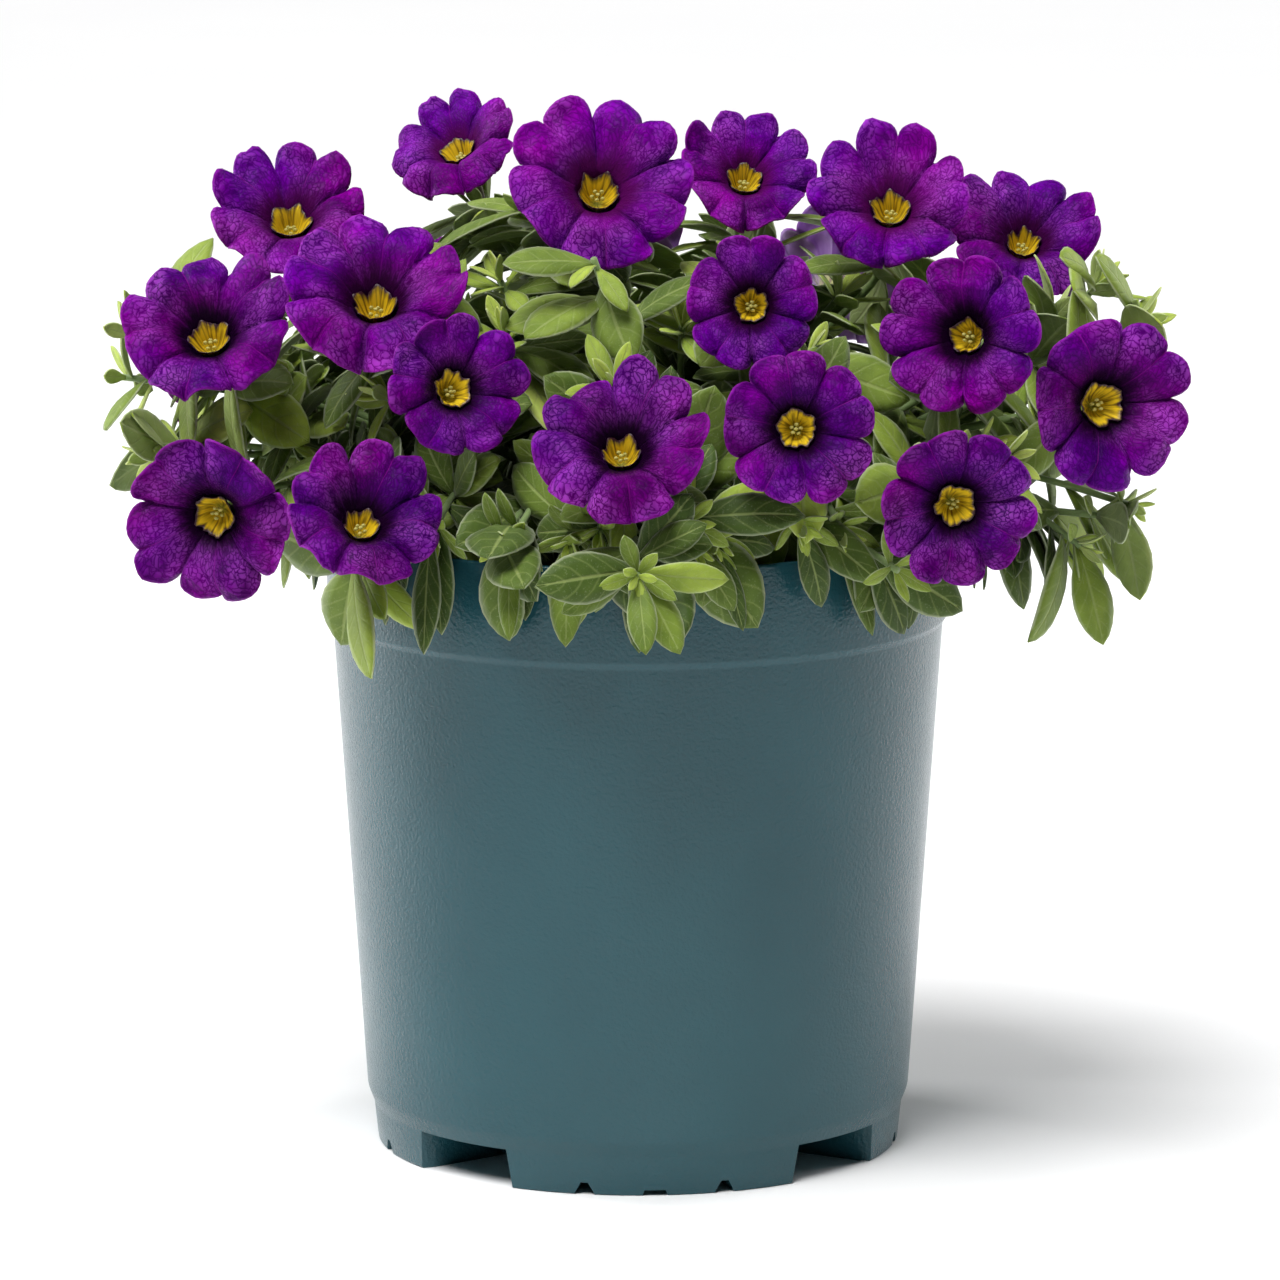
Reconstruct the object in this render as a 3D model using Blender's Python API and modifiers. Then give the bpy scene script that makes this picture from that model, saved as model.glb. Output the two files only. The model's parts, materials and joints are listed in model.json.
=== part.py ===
"""A potted calibrachoa: a thin plastic nursery pot on four feet, its potting soil, and twelve leafy stems
that carry twenty-three violet trumpet blooms with yellow eyes. Metres, +Z up, origin at the middle of the
pot's underside. The side that faces -Y is the front."""

import math
import random

import bmesh
import bpy
import numpy as np
from mathutils import Matrix, Vector
from mathutils.bvhtree import BVHTree

MM = 0.001
GAP = 0.35 * MM

# The pot: a turned shell with a plain band under the rim, standing on four feet with gaps between them.
POT_STEPS = 44
POT_HEIGHT = 121.5 * MM
RIM_RADIUS = 60.4 * MM
BAND_FOOT_RADIUS = 59.7 * MM
BAND_FOOT_HEIGHT = 103.4 * MM
LEDGE = 0.9 * MM
BODY_FOOT_RADIUS = 52.6 * MM
BODY_FOOT_HEIGHT = 10.6 * MM
SEAM_RADIUS = 51.4 * MM
SEAM_HEIGHT = 7.6 * MM
FOOT_RADIUS = 50.6 * MM
WALL = 1.6 * MM
RIM_ROUND = 0.5 * MM
LEDGE_DROP = 1.2 * MM
FLOOR_TOP = 9.4 * MM
FLOOR_CHAMFER = 2.0 * MM
FOOT_COUNT = 4
FOOT_TURN = 3.7
FOOT_GAP_ANGLE = 11.0
FOOT_GAP_FLARE_ANGLE = 14.0
FOOT_GAP_START = 24.0 * MM
FOOT_GAP_CORNER = 47.0 * MM
FOOT_DRAFT = 1.0 * MM
PAST_FACE = 5.0 * MM
PAST_BASE = 1.0 * MM
DRAIN_RADIUS = 3.4 * MM
DRAIN_PLACE = 40.0 * MM
NOTCH_SPREAD = 15.2
NOTCH_LENGTH = 13.0 * MM
NOTCH_SIZE = (5.2 * MM, 1.4 * MM, 2.4 * MM)
SHALLOW_NOTCH_SIZE = (5.7 * MM, 4.0 * MM, 1.1 * MM)

# The soil, and the holes that the stems stand in.
SOIL_TOP = 110.0 * MM
SOIL_CROWN = 3.0 * MM
HOLE_DEPTH = 20.0 * MM
SOIL_STEPS = 36
PEG_SIDES = 6
PEG_PASS = 2.0 * MM

# Blooms: place of the limb's middle in mm, the way it faces (degrees right of the front, degrees up), and its
# diameter in mm. The first seventeen face the front, the others the sides and the back.
BLOOMS = {
    "01": (-36, 24, 192, -30, 52, 27),
    "02": (-7, -20, 189, 6, 33, 37),
    "03": (21, 16, 187, 8, 42, 28),
    "04": (48, -6, 184, -3, 41, 32),
    "05": (75, 18, 175, 5, 45, 31),
    "06": (-67, 10, 180, 0, 50, 32),
    "07": (-81, -30, 163, -8, 44, 35),
    "08": (-49, -38, 171, 0, 50, 37),
    "09": (-33, -57, 155, 20, 20, 28),
    "10": (-3, -76, 148, 0, 42, 33),
    "11": (21, -48, 169, 0, 12, 27),
    "12": (29, -69, 149, 0, 11, 30),
    "13": (60, -44, 163, -16, 14, 31),
    "14": (88, -38, 149, 18, 10, 34),
    "15": (-80, -46, 128, -13, -6, 34),
    "16": (-50, -66, 133, 14, 43, 31),
    "17": (59, -62, 133, 8, 0, 31),
    "18": (-84, 24, 150, -105, 22, 31),
    "19": (88, 22, 148, 100, 18, 31),
    "20": (-50, 60, 158, -142, 32, 33),
    "21": (-5, 68, 172, 176, 38, 32),
    "22": (42, 62, 160, 148, 30, 33),
    "23": (0, 84, 138, 182, 10, 31),
}

# Leafy stems: where each stands in the soil (degrees right of the front, mm from the middle), and its blooms.
STEMS = {
    "01": (-48, 18, ("15", "16")),
    "02": (-82, 18, ("07", "18")),
    "03": (-68, 10, ("06", "08")),
    "04": (-24, 15, ("09",)),
    "05": (-110, 3, ("01", "02")),
    "06": (-2, 19, ("10",)),
    "07": (20, 12, ("11", "12")),
    "08": (46, 18, ("13", "17")),
    "09": (80, 18, ("14", "19")),
    "10": (88, 9, ("03", "04", "05")),
    "11": (-146, 15, ("20", "23")),
    "12": (158, 13, ("21", "22")),
}

# A bloom's section from the tube's root to the limb's edge: radius and height, past the root as shares of its
# own radius. The calyx is a cup with five pointed sepals round the tube's root.
TUBE_ROOT = (0.95 * MM, -16.0 * MM)
TUBE_TOP = (0.155, -0.52)
THROAT = (0.235, -0.29)
LIMB_MIDDLE = (0.62, -0.05)
LIMB_EDGE = (1.0, 0.02)
PETAL_THICKNESS = 0.7 * MM
LOBES = 10
PETAL_NOTCH = 0.22
LOBE_NOTCH = 0.09
NOTCH_DROP = 0.06
LOBE_END = 0.42
CALYX_FOOT = (1.0 * MM, -3.2 * MM)
SEPAL_TIP = (4.9 * MM, 7.0 * MM)
SEPAL_VALLEY = (2.6 * MM, 0.2 * MM)
CALYX_FLOOR = (1.9 * MM, -GAP)
STALK_SINK = 1.6 * MM

# Leafy shoots fill the mound between the blooms, four reach out at the sides (degrees right of the front,
# degrees up), and a skirt of them hangs over the rim.
CROWN = Vector((0, 0, 118 * MM))
MOUND_REACH = 92 * MM
MOUND_RISE = 64 * MM
MOUND_SHOOTS = 16
SIDE_REACH = 90 * MM
SIDE_SHOOTS = ((-93, 23), (-97, 11), (91, 27), (80, 4))
SKIRT_SHOOTS = 12
SKIRT_REACH = 66 * MM
SKIRT_HEIGHT = 126 * MM
FRONT_CROWDING = 28
GOLDEN_ANGLE = math.pi * (3 - math.sqrt(5))
TRUNK_RADIUS = 1.5 * MM
TWIG_RADIUS = 0.96 * MM
TWIG_TIP_RADIUS = 0.65 * MM

# Leaves: a narrow root, widest past the middle, and arched back. Shares of the length give the blade's corners.
LEAF_ROWS = (0.36, 0.72)
LEAF_LENGTH = (18 * MM, 26 * MM)
LEAF_SLENDERNESS = 0.38
LEAF_THICKNESS = 0.7 * MM
LEAVES_PER_SHOOT = 4
LEAF_CLEARANCE = 1.3 * MM
PATH_SPACING = 1.2 * MM


def heading(azimuth, elevation):
    """The unit vector that points this many degrees right of the front and this many up."""
    a, e = math.radians(azimuth), math.radians(elevation)
    return Vector((math.sin(a) * math.cos(e), -math.cos(a) * math.cos(e), math.sin(e)))


def clear_scene():
    for obj in list(bpy.data.objects):
        bpy.data.objects.remove(obj)


def collection(name):
    made = bpy.data.collections.new(name)
    bpy.context.scene.collection.children.link(made)
    return made


def material(name, colour, roughness):
    made = bpy.data.materials.new(name)
    made.use_nodes = True
    shader = made.node_tree.nodes["Principled BSDF"]
    shader.inputs["Base Color"].default_value = (*colour, 1)
    shader.inputs["Roughness"].default_value = roughness
    shader.inputs["Metallic"].default_value = 0.0
    return made


def add_object(name, mesh, where, finish=None):
    obj = bpy.data.objects.new(name, mesh)
    where.objects.link(obj)
    if finish:
        mesh.materials.append(finish)
    return obj


def mesh_from(bm, name):
    mesh = bpy.data.meshes.new(name)
    bm.to_mesh(mesh)
    bm.free()
    return mesh


def turned(name, profile, steps, where, finish):
    """A solid turned about Z from a profile of (radius, height) that starts and ends on the axis."""
    bm = bmesh.new()
    points = [bm.verts.new((radius, 0, height)) for radius, height in profile]
    for a, b in zip(points, points[1:]):
        bm.edges.new((a, b))
    obj = add_object(name, mesh_from(bm, name), where, finish)
    screw = obj.modifiers.new("Turned", "SCREW")
    screw.steps = screw.render_steps = steps
    screw.use_merge_vertices = True
    screw.merge_threshold = 1e-5
    screw.use_smooth_shade = False
    return obj


def cut(obj, cutters):
    boolean = obj.modifiers.new("Cut", "BOOLEAN")
    boolean.operation = "DIFFERENCE"
    boolean.operand_type = "COLLECTION"
    boolean.collection = cutters
    boolean.solver = "EXACT"


def make_cutter(name, bm, where):
    bmesh.ops.recalc_face_normals(bm, faces=bm.faces)
    obj = add_object(name, mesh_from(bm, name), where)
    obj.hide_render = True
    obj.display_type = "WIRE"
    return obj


def foot_gap_cutter(name, azimuth, where):
    """The wedge between two feet. It is wider at the pot's face and, for draft, at the bottom."""
    reach = FOOT_RADIUS + PAST_FACE
    steep, flare = math.tan(math.radians(FOOT_GAP_ANGLE)), math.tan(math.radians(FOOT_GAP_FLARE_ANGLE))
    side = [
        (FOOT_GAP_START, FOOT_GAP_START * steep),
        (FOOT_GAP_CORNER, FOOT_GAP_CORNER * steep),
        (reach, reach * flare),
    ]
    outline = side + [(x, -y) for x, y in reversed(side)]
    bm = bmesh.new()
    verts = [bm.verts.new((x, y + math.copysign(FOOT_DRAFT, y), -PAST_BASE)) for x, y in outline]
    top = bmesh.ops.extrude_face_region(bm, geom=[bm.faces.new(verts)])["geom"]
    for vert in [v for v in top if isinstance(v, bmesh.types.BMVert)]:
        vert.co.z = SEAM_HEIGHT
        vert.co.y -= math.copysign(FOOT_DRAFT, vert.co.y)
    bmesh.ops.rotate(bm, verts=bm.verts, matrix=Matrix.Rotation(math.radians(azimuth - 90), 3, "Z"))
    return make_cutter(name, bm, where)


def notch_cutter(name, azimuth, size, where):
    """A groove in a foot's lower edge, running in from the pot's face, narrower at its top."""
    wide, narrow, depth = size
    bm = bmesh.new()
    bmesh.ops.create_cube(bm, size=1)
    for vert in bm.verts:
        vert.co.y *= narrow if vert.co.z > 0 else wide
        vert.co.x = FOOT_RADIUS + (-NOTCH_LENGTH if vert.co.x < 0 else PAST_FACE)
        vert.co.z = depth if vert.co.z > 0 else -PAST_BASE
    bmesh.ops.rotate(bm, verts=bm.verts, matrix=Matrix.Rotation(math.radians(azimuth - 90), 3, "Z"))
    return make_cutter(name, bm, where)


def peg_cutter(name, place, radius, low, high, where):
    """An upright round peg, for a drain hole or a hole in the soil."""
    bm = bmesh.new()
    bmesh.ops.create_cone(
        bm, cap_ends=True, segments=PEG_SIDES, radius1=radius, radius2=radius, depth=high - low
    )
    bmesh.ops.translate(bm, verts=bm.verts, vec=(place.x, place.y, (low + high) / 2))
    return make_cutter(name, bm, where)


def make_pot(where, cutters, finish):
    profile = [
        (0, FLOOR_TOP),
        (BODY_FOOT_RADIUS - WALL - FLOOR_CHAMFER, FLOOR_TOP),
        (BODY_FOOT_RADIUS - WALL, FLOOR_TOP + FLOOR_CHAMFER),
        (RIM_RADIUS - WALL, POT_HEIGHT - RIM_ROUND),
        (RIM_RADIUS - WALL + RIM_ROUND, POT_HEIGHT),
        (RIM_RADIUS - RIM_ROUND, POT_HEIGHT),
        (RIM_RADIUS, POT_HEIGHT - RIM_ROUND),
        (BAND_FOOT_RADIUS, BAND_FOOT_HEIGHT),
        (BAND_FOOT_RADIUS - LEDGE, BAND_FOOT_HEIGHT - LEDGE_DROP),
        (BODY_FOOT_RADIUS, BODY_FOOT_HEIGHT),
        (SEAM_RADIUS, SEAM_HEIGHT),
        (FOOT_RADIUS, 0),
        (0, 0),
    ]
    pot = turned("pot", profile, POT_STEPS, where, finish)
    for foot in range(FOOT_COUNT):
        middle = FOOT_TURN + foot * 360 / FOOT_COUNT
        between = middle + 180 / FOOT_COUNT
        foot_gap_cutter(f"foot_gap_{foot}", between, cutters)
        drain = heading(between, 0) * DRAIN_PLACE
        low, high = SEAM_HEIGHT - PEG_PASS, FLOOR_TOP + PEG_PASS
        peg_cutter(f"drain_{foot}", drain, DRAIN_RADIUS, low, high, cutters)
        notch_cutter(f"notch_{foot}_a", middle - NOTCH_SPREAD, NOTCH_SIZE, cutters)
        notch_cutter(f"notch_{foot}_b", middle, SHALLOW_NOTCH_SIZE, cutters)
        notch_cutter(f"notch_{foot}_c", middle + NOTCH_SPREAD, NOTCH_SIZE, cutters)
    cut(pot, cutters)


def soil_radius(height):
    """The pot's inner radius at this height, less the gap."""
    low, high = FLOOR_TOP + FLOOR_CHAMFER, POT_HEIGHT - RIM_ROUND
    share = (height - low) / (high - low)
    inner = (BODY_FOOT_RADIUS - WALL) * (1 - share) + (RIM_RADIUS - WALL) * share
    return inner - GAP


def make_soil(places, where, cutters, finish):
    low = FLOOR_TOP + GAP
    corner = FLOOR_TOP + 1.5 * FLOOR_CHAMFER
    profile = [
        (0, SOIL_TOP + SOIL_CROWN),
        (soil_radius(SOIL_TOP) / 2, SOIL_TOP + SOIL_CROWN * 0.75),
        (soil_radius(SOIL_TOP), SOIL_TOP),
        (soil_radius(corner), corner),
        (soil_radius(corner) - 1.4 * FLOOR_CHAMFER, low),
        (0, low),
    ]
    soil = turned("soil", profile, SOIL_STEPS, where, finish)
    for number, place in enumerate(places):
        low, high = SOIL_TOP - HOLE_DEPTH, SOIL_TOP + SOIL_CROWN + PEG_PASS
        peg_cutter(f"hole_{number}", place, TRUNK_RADIUS + 2 * GAP, low, high, cutters)
    cut(soil, cutters)


class Bloom:
    """A trumpet of fused petals: a narrow tube that flares into a limb of ten lobes, two to a petal."""

    def __init__(self, name, x, y, z, azimuth, elevation, diameter):
        self.name = name
        self.middle = Vector((x, y, z)) * MM
        self.radius = diameter * MM / 2
        self.facing = heading(azimuth, elevation)
        side = self.facing.cross(Vector((0, 0, 1))).normalized()
        self.axes = Matrix((side, self.facing.cross(side), self.facing)).transposed()
        chance = random.Random(int(name))
        self.roll = chance.uniform(0, 2 * math.pi)
        self.lobe_reach = [chance.uniform(0.93, 1.0) for _ in range(LOBES)]
        self.lobe_lift = [chance.uniform(-0.10, 0.07) for _ in range(LOBES)]
        self.root = self.middle + self.facing * TUBE_ROOT[1]

    def place(self, radius, turn, height):
        """A point at this radius, this turn (radians) and this height along the axis, in metres."""
        local = Vector((radius * math.cos(turn), radius * math.sin(turn), height))
        return self.middle + self.axes @ local

    def profile(self):
        """The section's radii and heights from the tube's root to the limb's edge, in metres."""
        shares = np.array([TUBE_TOP, THROAT, LIMB_MIDDLE, LIMB_EDGE]) * self.radius
        return np.vstack([TUBE_ROOT, shares])

    def ring(self, radius, height, count):
        return [self.place(radius, self.roll + 2 * math.pi * step / count, height) for step in range(count)]

    def edge_ring(self):
        """Two points to a lobe, the notch before it and its round end. Every other notch parts two petals."""
        points = []
        for lobe in range(LOBES):
            notch = 1 - (PETAL_NOTCH if lobe % 2 == 0 else LOBE_NOTCH)
            end = LOBE_END if lobe % 2 == 0 else 1 - LOBE_END
            shapes = ((0, notch, -NOTCH_DROP), (end, self.lobe_reach[lobe], self.lobe_lift[lobe]))
            for part, reach, lift in shapes:
                turn = self.roll + 2 * math.pi * (lobe + part) / LOBES
                points.append(self.place(self.radius * reach, turn, self.radius * (LIMB_EDGE[1] + lift)))
        return points

    def rings(self):
        """The rings of the petal tube, from its root to the edge."""
        counts = (5, 5, 10, 10)
        rings = [self.ring(*place, count) for place, count in zip(self.profile(), counts)]
        return rings + [self.edge_ring()]


def ring_edges(bm, points):
    verts = [bm.verts.new(point) for point in points]
    return [bm.edges.new((a, b)) for a, b in zip(verts, verts[1:] + verts[:1])]


def bridged(rings):
    """A surface that joins rings of points, which may differ in number."""
    bm = bmesh.new()
    loops = [ring_edges(bm, ring) for ring in rings]
    for a, b in zip(loops, loops[1:]):
        bmesh.ops.bridge_loops(bm, edges=a + b)
    bmesh.ops.triangulate(bm, faces=bm.faces)
    return bm


def face_along(bm, middle, direction):
    """Turns the surface over if, near middle, it doesn't face along direction."""
    bmesh.ops.recalc_face_normals(bm, faces=bm.faces)
    nearest = min(bm.faces, key=lambda face: (face.calc_center_median() - middle).length)
    if nearest.normal.dot(direction) < 0:
        bmesh.ops.reverse_faces(bm, faces=bm.faces)


def make_bloom(bloom, where, finish):
    bm = bridged(bloom.rings())
    face_along(bm, bloom.place(LIMB_MIDDLE[0] * bloom.radius, bloom.roll, 0), bloom.facing)
    obj = add_object(f"bloom_{bloom.name}", mesh_from(bm, f"bloom_{bloom.name}"), where, finish)
    thicken = obj.modifiers.new("Petal thickness", "SOLIDIFY")
    thicken.thickness = PETAL_THICKNESS
    thicken.offset = -1
    return obj


def make_eye(bloom, where, finish):
    """The yellow throat with its anthers: a five-pointed star that fills the tube's top, with a gap to it."""
    radius = bloom.radius
    root, star, knob = [], [], []
    for step in range(LOBES):
        turn = bloom.roll + 2 * math.pi * step / LOBES
        reach = THROAT[0] * radius - 2 * GAP if step % 2 == 0 else THROAT[0] * radius * 0.62
        star.append(bloom.place(reach, turn, (THROAT[1] + 0.02) * radius))
        if step % 2 == 0:
            root.append(bloom.place(TUBE_TOP[0] * radius - 3 * GAP, turn, TUBE_TOP[1] * radius))
            knob.append(bloom.place(0.07 * radius, turn, (THROAT[1] + 0.06) * radius))
    bm = bridged([root, star, knob])
    bmesh.ops.holes_fill(bm, edges=[edge for edge in bm.edges if edge.is_boundary])
    bmesh.ops.recalc_face_normals(bm, faces=bm.faces)
    return add_object(f"eye_{bloom.name}", mesh_from(bm, f"eye_{bloom.name}"), where, finish)


def bezier(start, pull_start, pull_end, end, count):
    points = []
    for step in range(count):
        t = step / (count - 1)
        s = 1 - t
        points.append(
            start * s**3 + pull_start * (3 * s * s * t) + pull_end * (3 * s * t * t) + end * t**3
        )
    return points


def over_rim(point):
    """The point, lifted to where a stem clears the soil and the pot's rim."""
    radius = math.hypot(point.x, point.y)
    crest = POT_HEIGHT + 3.2 * MM
    soil = SOIL_TOP + SOIL_CROWN + 1 * MM
    climb_start, climb_end = RIM_RADIUS - 14 * MM, RIM_RADIUS - 6 * MM
    climb = min(1, max(0, (radius - climb_start) / (climb_end - climb_start)))
    fall = max(0, radius - SKIRT_REACH) * 1.5
    return Vector((point.x, point.y, max(point.z, soil + (crest - soil) * climb - fall)))


def dense(path):
    """Points along a path, close together."""
    points = []
    for a, b in zip(path, path[1:]):
        count = max(1, math.ceil((b - a).length / PATH_SPACING))
        points += [a.lerp(b, step / count) for step in range(count)]
    return np.array(points + [path[-1]])


class Leaf:
    """A leaf's blade: its root, the way it points, the way its upper face looks, and its length."""

    def __init__(self, root, direction, face, length, bend):
        self.root = root
        self.direction = direction
        self.face = face
        self.side = direction.cross(face)
        self.length = length
        self.bend = bend

    def half_width(self, t):
        blade = math.sin(math.pi * min(1, t) ** 1.3) ** 0.85 if 0 < t < 1 else 0
        return max(blade * self.length * LEAF_SLENDERNESS / 2, 0.35 * MM * (1 - t))

    def point(self, t, across):
        """The point t of the way to the tip, and across from -1 to 1 over the blade."""
        along = self.length * t * (1 - 0.25 * self.bend * t)
        sag = self.bend * self.length * t * t
        return self.root + self.direction * along + self.side * self.half_width(t) * across - self.face * sag

    def sheet(self):
        """The blade's middle surface as corners and faces, from its narrow root to its pointed tip."""
        corners = [self.point(t, across) for t in LEAF_ROWS for across in (-1, 1)]
        corners += [self.root, self.point(1, 0)]
        faces = [(len(corners) - 2, 1, 0)]
        for a in range(0, 2 * len(LEAF_ROWS) - 2, 2):
            faces += [(a, a + 1, a + 3), (a, a + 3, a + 2)]
        last = 2 * len(LEAF_ROWS) - 2
        return corners, faces + [(last, last + 1, len(corners) - 1)]

    def samples(self):
        """Points over the blade, three to a row, from near its root to its tip."""
        return np.array([self.point(0.12 + 0.088 * row, across) for row in range(11) for across in (-1, 0, 1)])


class Growth:
    """Everything that is already in the mound, so that what grows later is bent clear of it."""

    def __init__(self, blooms):
        self.names = [bloom.name for bloom in blooms]
        self.middles = np.array([bloom.middle for bloom in blooms])
        self.facings = np.array([bloom.facing for bloom in blooms])
        self.radii = np.array([bloom.radius for bloom in blooms])
        self.profiles = np.array([bloom.profile() for bloom in blooms])
        self.paths = []
        self.leaves = []

    def clear_of_blooms(self, points, clearance, own_bloom=None):
        """True if the points keep this far from every petal, and none lies before a bloom's face."""
        offset = points[:, None] - self.middles[None]
        height = (offset * self.facings[None]).sum(axis=2)
        radius = np.linalg.norm(offset - height[..., None] * self.facings[None], axis=2)
        here = np.stack([radius, height], axis=2)[:, :, None]
        start, end = self.profiles[None, :, :-1], self.profiles[None, :, 1:]
        run = end - start
        share = ((here - start) * run).sum(axis=3) / (run * run).sum(axis=3)
        nearest = start + np.clip(share, 0, 1)[..., None] * run
        apart = np.linalg.norm(here - nearest, axis=3).min(axis=2)
        wave = 0.1 * self.radii * np.clip(radius / self.radii, 0, 1) ** 2
        before = (height > -0.25 * self.radii) & (height < 26 * MM) & (radius < self.radii + 1.5 * MM)
        blocked = (apart < clearance + PETAL_THICKNESS + wave) | before
        if own_bloom:
            own = self.names.index(own_bloom)
            blocked[:, own] &= height[:, own] > self.profiles[own, 0, 1] + 1 * MM
        return not blocked.any()

    def clear_of_paths(self, owner, points, clearance):
        """True if the points keep this far from the twigs of the other stems."""
        others = [taken for other, taken in self.paths if other != owner]
        if not others:
            return True
        taken = np.vstack(others)
        low, high = points.min(axis=0) - clearance, points.max(axis=0) + clearance
        near = taken[((taken > low) & (taken < high)).all(axis=1)]
        return not len(near) or np.linalg.norm(points[:, None] - near[None], axis=2).min() > clearance

    def path_is_clear(self, owner, points, own_bloom):
        if in_pot(points, TRUNK_RADIUS).any():
            return False
        if not self.clear_of_blooms(points, 1.3 * MM, own_bloom):
            return False
        return self.clear_of_paths(owner, points, 2 * TRUNK_RADIUS + 0.2 * MM)

    def leaf_is_clear(self, owner, leaf):
        """True, with the leaf noted, if it clears pot, blooms, other stems' twigs and every other leaf."""
        points = leaf.samples()
        if in_pot(points, LEAF_CLEARANCE).any() or not self.clear_of_blooms(points, LEAF_CLEARANCE):
            return False
        if not self.clear_of_paths(owner, points, 2.3 * MM):
            return False
        blade = BVHTree.FromPolygons(*leaf.sheet())
        for other, taken, tree in self.leaves:
            if np.linalg.norm(points[16] - taken[16]) > 34 * MM:
                continue
            if blade.overlap(tree):
                return False
            spacing = np.linalg.norm(points[:, None] - taken[None], axis=2).min()
            if other != owner and spacing < LEAF_CLEARANCE + 0.9 * MM:
                return False
        self.leaves.append((owner, points, blade))
        return True


def in_pot(points, clearance):
    """Marks the points that are in, or too near, the pot or the soil."""
    radius = np.hypot(points[:, 0], points[:, 1])
    height = points[:, 2]
    outside = (height > POT_HEIGHT + clearance) | (radius > RIM_RADIUS + clearance)
    inside = (radius < RIM_RADIUS - WALL - clearance) & (height > SOIL_TOP + SOIL_CROWN + clearance)
    return ~(outside | inside)


class Shoot:
    """A twig of a leafy stem: its path, the bloom at its end if it has one, and its leaves."""

    def __init__(self, path, bloom=None):
        self.path = path
        self.bloom = bloom
        self.leaves = []

    def at(self, share):
        """Place and tangent at this share of the path's points."""
        last = len(self.path) - 1
        step = min(int(share * last), last - 1)
        a, b = self.path[step], self.path[step + 1]
        return a.lerp(b, share * last - step), (b - a).normalized()


class Stem:
    """A leafy stem: a trunk that stands in the soil, with a flower stalk to each bloom and leafy shoots."""

    def __init__(self, name, azimuth, radius, blooms):
        self.name = name
        self.blooms = blooms
        self.hole = heading(azimuth, 0) * radius * MM
        target = sum([bloom.root for bloom in blooms], Vector()) / len(blooms)
        self.course = (target - CROWN).normalized()
        fork = CROWN.lerp(target, 0.42)
        fork.z = max(fork.z, 129 * MM)
        foot = Vector((self.hole.x, self.hole.y, SOIL_TOP - HOLE_DEPTH + 1 * MM))
        top = Vector((self.hole.x, self.hole.y, SOIL_TOP + SOIL_CROWN + 1.5 * MM))
        self.trunk = [foot] + bezier(top, top + Vector((0, 0, 7 * MM)), fork - self.course * 9 * MM, fork, 4)
        self.shoots = []

    def shoot_to(self, growth, start_share, end, end_course, chance, own_bloom=None):
        """A twig from the trunk to end, bent further and further aside until it is clear, or None."""
        start, tangent = Shoot(self.trunk).at(start_share)
        reach = (end - start).length
        for attempt in range(60):
            aside = Vector([chance.gauss(0, 1) for _ in range(3)]) * attempt * 0.5 * MM
            middle = start + tangent * reach * 0.35 + aside
            pull = 0.25 if own_bloom else 0.35
            path = bezier(start, middle, end - end_course * reach * pull + aside, end, 5)
            path = path[:1] + [over_rim(point) for point in path[1:-1]] + path[-1:]
            points = dense(path)
            if growth.path_is_clear(self.name, points, own_bloom):
                growth.paths.append((self.name, points))
                return path
        return None


def mound_targets():
    """Ends for the leafy shoots: a golden-angle spiral over the dome, the sides, and a ring over the rim."""
    targets = []
    for step in range(MOUND_SHOOTS):
        share = (step + 0.5) / MOUND_SHOOTS
        elevation = math.asin(0.05 + 0.93 * share)
        course = heading(math.degrees(GOLDEN_ANGLE * step), math.degrees(elevation))
        reach = 1 / math.hypot(math.cos(elevation) / MOUND_REACH, math.sin(elevation) / MOUND_RISE)
        targets.append((CROWN + course * reach, course))
    for azimuth, elevation in SIDE_SHOOTS:
        course = heading(azimuth, elevation)
        targets.append((CROWN + course * SIDE_REACH, course))
    for step in range(SKIRT_SHOOTS):
        azimuth = 360 * (step + 0.6) / SKIRT_SHOOTS
        azimuth -= FRONT_CROWDING * math.sin(math.radians(azimuth))
        end = heading(azimuth, 0) * SKIRT_REACH
        end.z = SKIRT_HEIGHT + 3 * MM * (step % 2)
        targets.append((end, heading(azimuth, -38)))
    return targets


def grow_leaves(stem, shoot, growth, chance, skirt):
    """Leaves spiral up the outer part of a twig. Each is turned anew until it is clear, or left out."""
    turn = chance.uniform(0, 2 * math.pi)
    count = LEAVES_PER_SHOOT if shoot.bloom is None else 2
    for number in range(count):
        share = 0.98 - 0.55 * number / count if shoot.bloom is None else 0.45 - 0.2 * number
        root, tangent = shoot.at(share)
        for attempt in range(14):
            spin = turn + GOLDEN_ANGLE * number + attempt * 0.9
            aside = tangent.orthogonal().normalized()
            aside.rotate(Matrix.Rotation(spin, 3, tangent))
            spread = math.radians(chance.uniform(38, 68))
            direction = tangent * math.cos(spread) + aside * math.sin(spread)
            if skirt:
                direction += Vector((0, 0, -1.0))
            direction.normalize()
            face = tangent - direction * tangent.dot(direction)
            if skirt:
                face += Vector((root.x, root.y, 0)).normalized() * 0.8
                face -= direction * face.dot(direction)
            face.normalize()
            length = chance.uniform(*LEAF_LENGTH) * (0.8 if number == 0 else 1)
            leaf = Leaf(root, direction, face, length, chance.uniform(0.05, 0.3))
            if growth.leaf_is_clear(stem.name, leaf):
                shoot.leaves.append(leaf)
                break


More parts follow.
